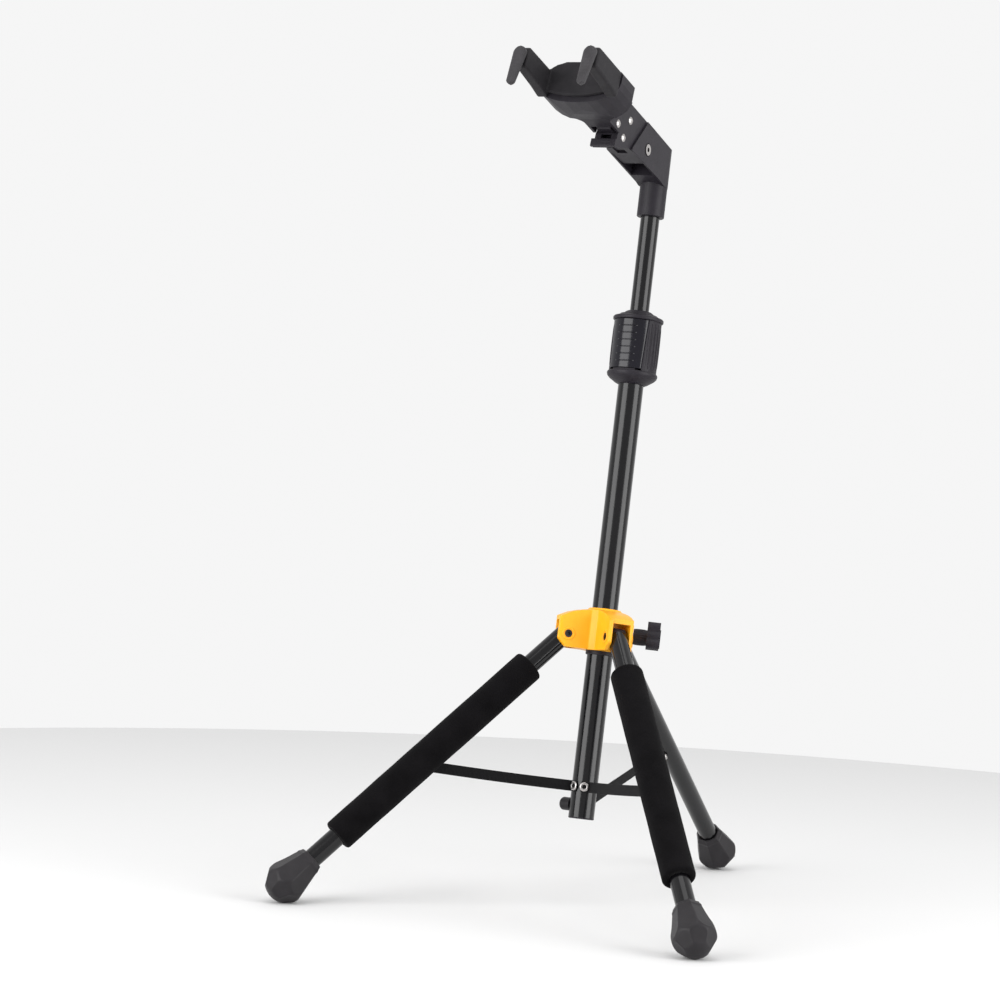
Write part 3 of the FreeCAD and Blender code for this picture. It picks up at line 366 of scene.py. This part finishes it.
def finish_piece(name, mesh, place, body, material, weld=True):
    """Carries a mesh to its place and hangs it on a body."""
    mesh.transform(place)
    work = bmesh.new()
    work.from_mesh(mesh)
    if weld:
        bmesh.ops.remove_doubles(work, verts=work.verts, dist=1e-6)
    bmesh.ops.recalc_face_normals(work, faces=work.faces)
    work.to_mesh(mesh)
    work.free()
    mesh.shade_smooth()
    mesh.materials.append(material)
    piece = bpy.data.objects.new(name, mesh)
    bpy.context.scene.collection.objects.link(piece)
    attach(piece, body)
    print(name, "faces", len(mesh.polygons))
    return piece


def turned_rows(profile, steps):
    """Rings of points from (radius, height) corners about z."""
    return [circle(r, z, steps) for r, z in profile]


# %% [markdown]
# A foam sleeve is pushed over each front leg. It is a thick tube whose ends are cut and softly rounded,
# and the skin is never quite even. A slit on the mast's side lets the webbing through to its rivet, and the
# foam closes round it, so the skin dips there. The rings are drawn along the leg and each point is moved by
# smooth noise and by the dip; there is no cloth in foam, so mesh work suits it better than a simulation.

# %% Foam sleeves
foam_radius, foam_bore, foam_start, foam_end = 0.0160, 0.0095, 0.0475, 0.3015
end_rounding, lump_height = 0.0028, 0.00022
front_strap_reach = 0.197   # leg pivot to the strap's rivet on a front leg
slit_from, slit_to, slit_fade = front_strap_reach - 0.024, front_strap_reach + 0.004, 0.010
slit_depth, slit_half_width = 0.0042, 0.0017
lip_height, lip_offset, lip_half_width = 0.0004, 0.004, 0.002
foam_steps, foam_rings, foam_end_rings = 120, 130, 6


def foam_radius_at(along, angle, seed):
    """Radius of the sleeve's skin: rounded at its ends, a little lumpy, and drawn in along the slit."""
    end = min(along - foam_start, foam_end - along)
    if end >= end_rounding:
        shrink = 0.0
    else:
        shrink = end_rounding - math.sqrt(max(0.0, end_rounding ** 2 - (end_rounding - end) ** 2))
    at = Vector((math.cos(angle) * 1.4, math.sin(angle) * 1.4, along * 42 + seed * 9))
    lump = noise.noise(at) * lump_height
    across = abs(math.sin(angle - math.pi / 2)) * foam_radius if math.sin(angle) > 0 else 1.0
    centre, half = (slit_from + slit_to) / 2, (slit_to - slit_from) / 2
    reach = max(0.0, 1 - max(0.0, abs(along - centre) - half) / slit_fade)
    dip = slit_depth * math.exp(-(across / slit_half_width) ** 2) * (1.0 if reach >= 1 else reach * reach)
    swell = lip_height * math.exp(-((across - lip_offset) / lip_half_width) ** 2) * reach
    return foam_radius - shrink + lump - dip - abs(lump) * 0.3 + swell * 0.3


for seed, side in enumerate(("left", "right")):
    quarter = [math.pi / 2 * k / (foam_end_rings - 1) for k in range(foam_end_rings)]
    stations = [foam_start + end_rounding * (1 - math.cos(a)) for a in quarter]
    stations += [foam_start + end_rounding + (foam_end - foam_start - 2 * end_rounding) * k / foam_rings
                 for k in range(1, foam_rings)]
    stations += [foam_end - end_rounding * (1 - math.sin(a)) for a in quarter]
    bore_top = circle(foam_bore, -foam_start, foam_steps)
    rows = [bore_top]
    for along in stations:
        row = []
        for k in range(foam_steps):
            angle = 2 * math.pi * k / foam_steps
            r = foam_radius_at(along, angle, seed)
            row.append(Vector((r * math.cos(angle), r * math.sin(angle), -along)))
        rows.append(row)
    rows += [circle(foam_bore, -foam_end, foam_steps), bore_top]
    sleeve = finish_piece("foam_grip_" + side, grid_mesh("foam_grip_" + side, rows), legs[side],
                          "leg_" + side, finishes["foam"])
    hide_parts("foam_sleeve_" + side)

# %% [markdown]
# Each foot is a hollow rubber bulb pulled over the end of its leg. Below its plain mouth the bulb is cut
# into long facets that meet in a zigzag and give the floor a grip. A smooth turned bulb, shaved by two
# rows of planes set half a step apart, gives just that: at each point the nearest plane wins.

# %% Faceted rubber feet
foot_reach = 0.3668   # leg pivot to the bulb's centre
bulb, mouth_radius, mouth_height = 0.0210, 0.01375, 0.033
taper_top, taper_bottom, taper_rings = 0.0302, -0.0195, 52
sock_radius, sock_floor, sock_depth = 0.0097, 0.026, 0.0066
bead_height, bead_at, bead_half_width = 0.0006, 0.0285, 0.0014
mouth_insets = (0.0009, 0.0003)
facets, facet_steps = 7, 140
facet_rows = ((0.010, 14, 0.00165), (-0.007, -34, 0.00145))   # height, tilt in degrees, depth of cut


def bulb_radius(z):
    """Radius of the plain bulb at a height above its centre."""
    join = math.radians(22)
    z_join, r_join = bulb * math.sin(join), bulb * math.cos(join)
    if z <= z_join:
        return math.sqrt(max(0.0, bulb ** 2 - z ** 2))
    t = (z - z_join) / (mouth_height - z_join)
    return r_join + (mouth_radius - r_join) * (t + 0.10 * math.sin(math.pi * t))


def shaved(radius, z, angle):
    """The bulb after two rows of flat cuts."""
    step = 2 * math.pi / facets
    best = radius
    for row, (centre_z, tilt, depth) in enumerate(facet_rows):
        shift = 0.5 * row
        local = (angle / step - shift) % 1.0 - 0.5
        t = math.radians(tilt)
        plane_r = bulb_radius(centre_z) - depth
        limit = (plane_r * math.cos(t) - (z - centre_z) * math.sin(t)) / (math.cos(t) * math.cos(local * step))
        best = min(best, limit)
    return best


for side in ("left", "right", "rear"):
    heights = [mouth_height - 0.00015 * k * k for k in range(5)]
    heights += [taper_top - (taper_top - taper_bottom) * k / taper_rings for k in range(1, taper_rings + 1)]
    rows = [circle(sock_radius, -foot_reach + sock_floor, facet_steps)]
    rows.append([v + Vector((0, 0, sock_depth)) for v in rows[0]])
    for index, z in enumerate(heights):
        inset = mouth_insets[index] if index < len(mouth_insets) else 0.0
        bead = bead_height * math.exp(-((z - bead_at) / bead_half_width) ** 2)
        row = []
        for k in range(facet_steps):
            angle = 2 * math.pi * k / facet_steps
            r = shaved(bulb_radius(z), z, angle) - inset + bead
            row.append(Vector((r * math.cos(angle), r * math.sin(angle), -foot_reach + z)))
        rows.append(row)
    for r_tip in (0.0055, 0.0028):
        rows.append(circle(r_tip, -foot_reach - math.sqrt(bulb ** 2 - r_tip ** 2), facet_steps))
    mesh = grid_mesh("rubber_foot_" + side, rows, cap_end=True)
    mesh.transform(legs[side])
    for vertex in mesh.vertices:
        vertex.co.z = max(vertex.co.z, 0.0)
    shoe = finish_piece("rubber_foot_" + side, mesh, Matrix.Identity(4), "leg_" + side, finishes["foot_rubber"])
    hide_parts("foot_" + side)

# %% [markdown]
# The cradle's two fingers hang at the ends of its prongs. A finger is a tapered rubber tongue: round at
# its shaft, narrower at its tip, and crowned all over, so it is lofted. Each ring is a rounded oblong
# whose width, thickness and lean change smoothly from the shaft to the tip.

# %% Grip fingers
def oblong(width, thick, count=40, power=3.2):
    ring = []
    for k in range(count):
        a = 2 * math.pi * k / count
        c, s = math.cos(a), math.sin(a)
        ring.append((math.copysign(abs(c) ** (2 / power), c) * width / 2,
                     math.copysign(abs(s) ** (2 / power), s) * thick / 2))
    return ring


finger_top, finger_tip, finger_drop, finger_lean = 0.0066, 0.0042, 0.0315, math.radians(10)
finger_thick, finger_setback, finger_rings = 0.0070, 0.0012, 46
grip_depth, grip_pitch, grip_offset, grip_span = 0.00022, 0.0036, 0.004, (-0.031, -0.007)


def finger_mesh(name):
    """A tongue from a round top of one radius to a round tip of another, ribbed on its faces."""
    rows = []
    for k in range(finger_rings + 1):
        z = finger_top * 0.999 - (finger_top + finger_drop + finger_tip) * 0.9985 * k / finger_rings
        if z > 0:
            half = math.sqrt(max(0.0, finger_top ** 2 - z ** 2))
        elif z < -finger_drop:
            half = math.sqrt(max(0.0, finger_tip ** 2 - (z + finger_drop) ** 2))
        else:
            half = finger_top + (finger_tip - finger_top) * (-z / finger_drop)
        crown = min(1.0, max(0.22, half / finger_tip))
        thick = finger_thick * (0.62 + 0.38 * crown)
        ripple = math.cos(2 * math.pi * (z + grip_offset) / grip_pitch)
        grip = grip_depth * max(0.0, ripple) if grip_span[0] < z < grip_span[1] else 0.0
        thinner = 1 - grip / (finger_thick / 2)
        y = -finger_thick / 2 - finger_setback + math.tan(finger_lean) * min(z, 0.004)
        rows.append([Vector((px, y + py * thinner, z)) for px, py in oblong(2 * half + 1e-5, thick)])
    return grid_mesh(name, rows, cap_start=True, cap_end=True)


for side in ("left", "right"):
    spot = head.inverted() @ joint_point("finger_" + side + "_close")
    finger = finish_piece("rubber_finger_" + side, finger_mesh("rubber_finger_" + side),
                          head @ Matrix.Translation(spot), "finger_" + side, finishes["rubber_grey"])
    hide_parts("grip_finger_" + side)

# %% [markdown]
# The cradle wears one soft rubber boot over its back wall and both prongs. It is moulded in one piece, so
# its inner corners are full and nothing on it is sharp. A copy of the engineering shape is merged, remeshed
# into small even squares and relaxed: relaxing rounds every corner in and out, as a mould does.

# %% Cradle boot
boot_square, boot_relaxing = 0.00085, 9
boot_mesh = frame["nodes"]["cradle_sleeve"].data.copy()
boot_mesh.name = "cradle_boot"
work = bmesh.new()
work.from_mesh(boot_mesh)
bmesh.ops.remove_doubles(work, verts=work.verts, dist=1e-5)
work.to_mesh(boot_mesh)
work.free()
boot = bpy.data.objects.new("boot_work", boot_mesh)
bpy.context.scene.collection.objects.link(boot)
remesh = boot.modifiers.new("even", "REMESH")
remesh.mode = "VOXEL"
remesh.voxel_size = boot_square
relax = boot.modifiers.new("relax", "SMOOTH")
relax.iterations = boot_relaxing
relax.factor = 0.5
boot_mesh = bpy.data.meshes.new_from_object(boot.evaluated_get(bpy.context.evaluated_depsgraph_get()))
boot_mesh.name = "cradle_boot"
bpy.data.objects.remove(boot)
boot_mesh.materials.clear()
boot = finish_piece("cradle_boot", boot_mesh, Matrix.Identity(4), "cradle", boot_rubber,
                    weld=False)
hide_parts("cradle_sleeve")


# %% [markdown]
# Three webbing straps tie the legs to the foot of the mast and set how far the tripod opens. Webbing
# is far wider than it is thick and stays almost straight when it is taut, with a slight dip between its
# ends. It is modelled directly: a band of rounded section swept along its line, with a UV map in metres.

# %% A band of webbing along a line
def webbing_band(name, line, widths, thick, normals):
    """A band along points; widths point across it and normals out of its broad face."""
    rows, lengths, total = [], [], 0.0
    section = oblong(1.0, 1.0, 20, 7.0)
    for k, point in enumerate(line):
        if k:
            total += (line[k] - line[k - 1]).length
        lengths.append(total)
        rows.append([point + widths[k] * u + normals[k] * (v * thick) for u, v in section])
    mesh = grid_mesh(name, rows, cap_start=True, cap_end=True)
    layer = mesh.uv_layers.new(name="weave")
    n = len(section)
    for loop in mesh.loops:
        row, k = divmod(loop.vertex_index, n)
        layer.data[loop.index].uv = (lengths[row], section[k][0] * widths[row].length)
    return mesh


strap_width, strap_thick, strap_steps = 0.0105, 0.0016, 60
strap_start, strap_dip, strap_wobble, strap_twist = 0.0004, -0.0006, 0.0004, math.radians(5)
rear_strap_reach = 0.17913   # leg pivot to the strap's rivet on the rear leg
front_strap_gap, rear_strap_gap = 0.0112, 0.0100   # leg's middle line to the strap's end, across the leg
for side in ("left", "right", "rear"):
    root = joint_point("strap_lift_" + side)
    hinge = Vector(joints["strap_lift_" + side]["axis"])
    leg = legs[side]
    reach, gap = (rear_strap_reach, rear_strap_gap) if side == "rear" else (front_strap_reach, front_strap_gap)
    rivet = leg @ Vector((0, 0, -reach))
    direction = (rivet - root).normalized()
    up = direction.cross(hinge).normalized()
    if up.z < 0:
        up = -up
    across = hinge.normalized()
    slope = abs(direction.dot((leg.to_3x3() @ Vector((0, 1, 0)))))
    stop = (rivet - root).length - gap / slope
    seed = 7.0 if side == "left" else 2.0
    line, widths, normals = [], [], []
    for k in range(strap_steps + 1):
        t = k / strap_steps
        along = strap_start + (stop - strap_start) * t
        dip = strap_dip * math.sin(math.pi * t)
        wobble = noise.noise(Vector((t * 3.1, seed, 0.4))) * strap_wobble * math.sin(math.pi * t)
        twist = strap_twist * math.sin(math.pi * t)
        line.append(root + direction * along + up * dip + across * wobble)
        widths.append((up * math.cos(twist) + across * math.sin(twist)) * strap_width)
        normals.append(across * math.cos(twist) - up * math.sin(twist))
    mesh = webbing_band("webbing_strap_" + side, line, widths, strap_thick, normals)
    band = finish_piece("webbing_strap_" + side, mesh, Matrix.Identity(4), "strap_" + side, webbing)
    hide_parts("strap_" + side)

# %% [markdown]
# Where a strap meets the mast its end hugs the tube and is held by a pressed eyelet. That tab stays with
# the mast when the tripod folds. It is the same band bent round the tube, and the eyelet is a turned ring
# with a rolled lip.

# %% Strap tabs and eyelets on the mast
def eyelet_rows(outer, hole, height):
    profile = [(hole, -0.0004), (hole, height * 0.7), (hole + 0.0005, height), ((hole + outer) / 2, height),
               (outer - 0.0004, height * 0.8), (outer, height * 0.35), (outer, 0.0), (hole, -0.0004)]
    return turned_rows(profile, 36)


tube_radius, tab_lift, tab_steps = 0.0127, 0.00003, 26
front_tab_wrap, front_eyelet_at, rear_tab_half = 38, 25, 24   # degrees round the tube
eyelet_outer, eyelet_hole, eyelet_height = 0.0046, 0.0021, 0.0011
mast_inverse = mast.inverted()


def strap_root(side):
    """Where a strap starts on the mast: its angle round the mast and its height along it."""
    root = mast_inverse @ joint_point("strap_lift_" + side)
    return math.atan2(root.x, -root.y), root.z


def outward(angle):
    """The direction away from the mast's axis at an angle round it."""
    return Vector((math.sin(angle), -math.cos(angle), 0))


for side, wrap_sign in (("left", 1), ("right", -1), ("rear", 0)):
    azimuth, station = strap_root(side)
    line, widths, normals = [], [], []
    for k in range(tab_steps + 1):
        if side == "rear":
            a = azimuth + math.radians(-rear_tab_half + 2 * rear_tab_half * k / tab_steps)
        else:
            a = azimuth + wrap_sign * math.radians(front_tab_wrap) * (k / tab_steps)
        out = outward(a)
        line.append(out * (tube_radius + strap_thick / 2 + tab_lift) + Vector((0, 0, station)))
        widths.append(Vector((0, 0, strap_width)))
        normals.append(out)
    mesh = webbing_band("strap_tab_" + side, line, widths, strap_thick, normals)
    finish_piece("strap_tab_" + side, mesh, mast, "mast", webbing)
    out = outward(azimuth + wrap_sign * math.radians(front_eyelet_at))
    place = mast @ frame_of(out * (tube_radius + strap_thick) + Vector((0, 0, station)), (0, 0, 1), out)
    ring_mesh = grid_mesh("strap_eyelet_" + side, eyelet_rows(eyelet_outer, eyelet_hole, eyelet_height))
    finish_piece("strap_eyelet_" + side, ring_mesh, place, "mast", finishes["satin_steel"])


# %% [markdown]
# Things that repeat are made by Geometry Nodes: a short path of points, one small shape set on each, the
# result made real and given its finish. The same tree makes thread stitches, grip ribs and the beads of a
# knurl: only the shape's size and the points differ. Its sizes are named inputs set by identifier.

# %% A tree that sets a rounded bar on every point of a path
def bar_tree():
    tree = bpy.data.node_groups.new("bars_on_points", "GeometryNodeTree")
    ask = tree.interface.new_socket
    ask("Geometry", in_out="INPUT", socket_type="NodeSocketGeometry")
    for label in ("Length", "Width", "Height"):
        ask(label, in_out="INPUT", socket_type="NodeSocketFloat")
    ask("Finish", in_out="INPUT", socket_type="NodeSocketMaterial")
    ask("Geometry", in_out="OUTPUT", socket_type="NodeSocketGeometry")
    nodes, links = tree.nodes, tree.links
    given, made = nodes.new("NodeGroupInput"), nodes.new("NodeGroupOutput")
    ball = nodes.new("GeometryNodeMeshUVSphere")
    ball.inputs["Segments"].default_value = 12
    ball.inputs["Rings"].default_value = 8
    ball.inputs["Radius"].default_value = 0.5
    size = nodes.new("ShaderNodeCombineXYZ")
    links.new(given.outputs["Length"], size.inputs["X"])
    links.new(given.outputs["Width"], size.inputs["Y"])
    links.new(given.outputs["Height"], size.inputs["Z"])
    shape = nodes.new("GeometryNodeTransform")
    links.new(ball.outputs["Mesh"], shape.inputs["Geometry"])
    links.new(size.outputs["Vector"], shape.inputs["Scale"])
    aim = nodes.new("GeometryNodeInputNamedAttribute")
    aim.data_type = "QUATERNION"
    aim.inputs["Name"].default_value = "turn"
    setter = nodes.new("GeometryNodeInstanceOnPoints")
    links.new(given.outputs["Geometry"], setter.inputs["Points"])
    links.new(shape.outputs["Geometry"], setter.inputs["Instance"])
    links.new(aim.outputs["Attribute"], setter.inputs["Rotation"])
    real = nodes.new("GeometryNodeRealizeInstances")
    paint = nodes.new("GeometryNodeSetMaterial")
    links.new(setter.outputs["Instances"], real.inputs["Geometry"])
    links.new(real.outputs["Geometry"], paint.inputs["Geometry"])
    links.new(given.outputs["Finish"], paint.inputs["Material"])
    links.new(paint.outputs["Geometry"], made.inputs["Geometry"])
    return tree


bars = bar_tree()
socket_ids = {s.name: s.identifier for s in bars.interface.items_tree
              if s.item_type == "SOCKET" and s.in_out == "INPUT"}
print("tree sockets", socket_ids)


def bars_at(name, frames, place, length, width, height, body, material):
    """One bar at each local frame, its length along that frame's x and its height along z."""
    mesh = bpy.data.meshes.new(name)
    mesh.from_pydata([tuple(f.translation) for f in frames], [], [])
    turn = mesh.attributes.new("turn", "QUATERNION", "POINT")
    for k, f in enumerate(frames):
        turn.data[k].value = f.to_quaternion()
    seed = bpy.data.objects.new(name + "_seed", mesh)
    bpy.context.scene.collection.objects.link(seed)
    modifier = seed.modifiers.new("bars", "NODES")
    modifier.node_group = bars
    for label, value in (("Length", length), ("Width", width), ("Height", height), ("Finish", material)):
        modifier[socket_ids[label]] = value
    seed.update_tag()
    result = bpy.data.meshes.new_from_object(seed.evaluated_get(bpy.context.evaluated_depsgraph_get()))
    result.name = name
    seed.modifiers.clear()
    bpy.data.objects.remove(seed)
    result.materials.clear()
    return finish_piece(name, result, place, body, material, weld=False)


# %% [markdown]
# Thread stitches cross each front tab on both sides of its eyelet: two rows near its root, as a bar-tack
# has, and one at its end.

# %% Stitches
stitch_rows, stitches = (6, 10, front_tab_wrap - 1.5), 6   # rows in degrees round the tube
stitch_lift, stitch_first, stitch_pitch = 0.00006, -0.0042, 0.00168
for side, wrap_sign in (("left", 1), ("right", -1)):
    azimuth, station = strap_root(side)
    frames = []
    for degrees in stitch_rows:
        out = outward(azimuth + wrap_sign * math.radians(degrees))
        for k in range(stitches):
            height = station + stitch_first + stitch_pitch * k
            spot = out * (tube_radius + strap_thick + stitch_lift) + Vector((0, 0, height))
            frames.append(frame_of(spot, (0, 0, 1), out))
    bars_at("strap_stitches_" + side, frames, mast, 0.0013, 0.0004, 0.0004, "mast", stitch_thread)

# %% [markdown]
# The clutch's trigger is a polished panel let into its body, a slice of a tube a little prouder than the
# body round it. Six grooves cross it where the thumb presses. A ring of points runs round each level of the
# slice, outside and back inside, and a groove draws the outside of its level in by 0.6 mm.

# %% Clutch trigger
panel_low, panel_high, panel_outer, panel_inner = 0.2687, 0.3181, 0.0242, 0.0208
panel_half_low, panel_half_high = 0.0166, 0.0186
groove_half, groove_depth, groove_width, grooves = 0.0098, 0.0006, 0.00055, 6
edge_round, groove_fade, panel_steps, inner_share = 0.0006, 0.0006, 72, 0.985


def trigger_ring(z):
    """One level of the slice: its outside from left to right, then its inside back again."""
    share = (z - panel_low) / (panel_high - panel_low)
    half = panel_half_low + (panel_half_high - panel_half_low) * share
    pitch = (panel_high - panel_low) / (grooves + 1)
    near = abs((z - panel_low + pitch / 2) % pitch - pitch / 2)
    inside = 0.5 * pitch < z - panel_low < panel_high - panel_low - 0.5 * pitch
    cut = groove_depth * max(0.0, 1 - (near / groove_width) ** 4) if inside else 0.0
    from_end = min(z - panel_low, panel_high - z)
    ring = []
    for k in range(panel_steps + 1):
        x = half * math.sin(math.pi / 2 * (2 * k / panel_steps - 1))
        fade = min(1.0, max(0.0, (groove_half - abs(x)) / groove_fade))
        soft = max(0.0, edge_round - min(from_end, half - abs(x)))
        r = panel_outer - cut * fade - edge_round + math.sqrt(edge_round ** 2 - soft ** 2)
        ring.append(Vector((x, -math.sqrt(r ** 2 - x ** 2), z)))
    for k in range(panel_steps, -1, -1):
        x = half * math.sin(math.pi / 2 * (2 * k / panel_steps - 1)) * inner_share
        ring.append(Vector((x, -math.sqrt(max(panel_inner ** 2 - x ** 2, 0)), z)))
    return ring


levels = [panel_low + edge_round * k / 4 for k in range(4)]
levels += [panel_low + edge_round + (panel_high - panel_low - 2 * edge_round) * k / 260 for k in range(261)]
levels += [panel_high - edge_round * k / 4 for k in (3, 2, 1, 0)]
panel_mesh = grid_mesh("trigger_panel", [trigger_ring(z) for z in levels], cap_start=True, cap_end=True)
panel = finish_piece("trigger_panel", panel_mesh, mast, "clutch_trigger", finishes["gloss_charcoal"])
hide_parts("clutch_trigger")

# %% [markdown]
# The clutch body has fine upright grip ribs on both flanks, either side of its smooth trigger. They stand
# between the moulded grooves, so a thumb finds the trigger by feel.

# %% Clutch grip ribs
ribs_a_side, rib_first, rib_step = 9, 56.5, 11   # degrees from the trigger's middle
rib_radius, rib_height = 0.02372, 0.2927
frames = []
for sign in (-1, 1):
    for k in range(ribs_a_side):
        out = outward(sign * math.radians(rib_first + rib_step * k))
        frames.append(frame_of(out * rib_radius + Vector((0, 0, rib_height)), (0, 0, 1), out))
bars_at("clutch_ribs", frames, mast, 0.041, 0.0018, 0.0010, "mast", finishes["charcoal_plastic"])

# %% [markdown]
# The clamp knob's neck and the release tab are ribbed for fingers. The neck's ribs run along the screw,
# and the tab's run across it.

# %% Knob and tab ribs
neck_ribs, neck_rib_radius, neck_rib_height, knob_depth = 22, 0.0078, 0.0372, 0.030
tab_ribs, tab_rib_first, tab_rib_pitch, tab_rib_front = 4, -0.0272, 0.0016, -0.0703
knob_axis = Vector(joints["clamp_knob_turn"]["axis"]).normalized()
knob_centre = joint_point("clamp_knob_turn") - knob_axis * knob_depth
knob = frame_of(knob_centre, (0, 0, 1), knob_axis)
frames = []
for k in range(neck_ribs):
    a = 2 * math.pi * k / neck_ribs
    out = Vector((math.cos(a), math.sin(a), 0))
    frames.append(frame_of(out * neck_rib_radius + Vector((0, 0, neck_rib_height)), (0, 0, 1), out))
bars_at("knob_neck_ribs", frames, knob, 0.011, 0.0013, 0.0007, "clamp_knob", finishes["charcoal_plastic"])
frames = [frame_of(Vector((0, tab_rib_front, tab_rib_first + tab_rib_pitch * k)), (1, 0, 0), (0, -1, 0))
          for k in range(tab_ribs)]
bars_at("release_tab_ribs", frames, head, 0.023, 0.0007, 0.0006, "release_lever", finishes["charcoal_plastic"])

# %% [markdown]
# The hub's cheeks are moulded with a low ring round each pivot screw, where the screw's head sinks in. The
# ring is turned from a short profile and laid on both cheeks of every arm.

# %% Ring round each pivot screw
ring_profile = [(0.0046, 0.0), (0.0046, 0.0004), (0.0051, 0.0007), (0.0060, 0.0007), (0.0066, 0.0002),
                (0.0066, -0.0002), (0.0046, -0.0002), (0.0046, 0.0)]
cheek_half = 0.0135   # pivot's middle to a cheek's outer face
for side in ("left", "right", "rear"):
    hinge = Vector(joints["leg_fold_" + side]["axis"]).normalized()
    for end in (-1, 1):
        spot = joint_point("leg_fold_" + side) + hinge * (end * cheek_half)
        place = frame_of(spot, mast_dir, hinge * end)
        label = "screw_boss_" + side + ("_a" if end < 0 else "_b")
        finish_piece(label, grid_mesh(label, turned_rows(ring_profile, 40)), place, "hub",
                     finishes["hub_yellow"])
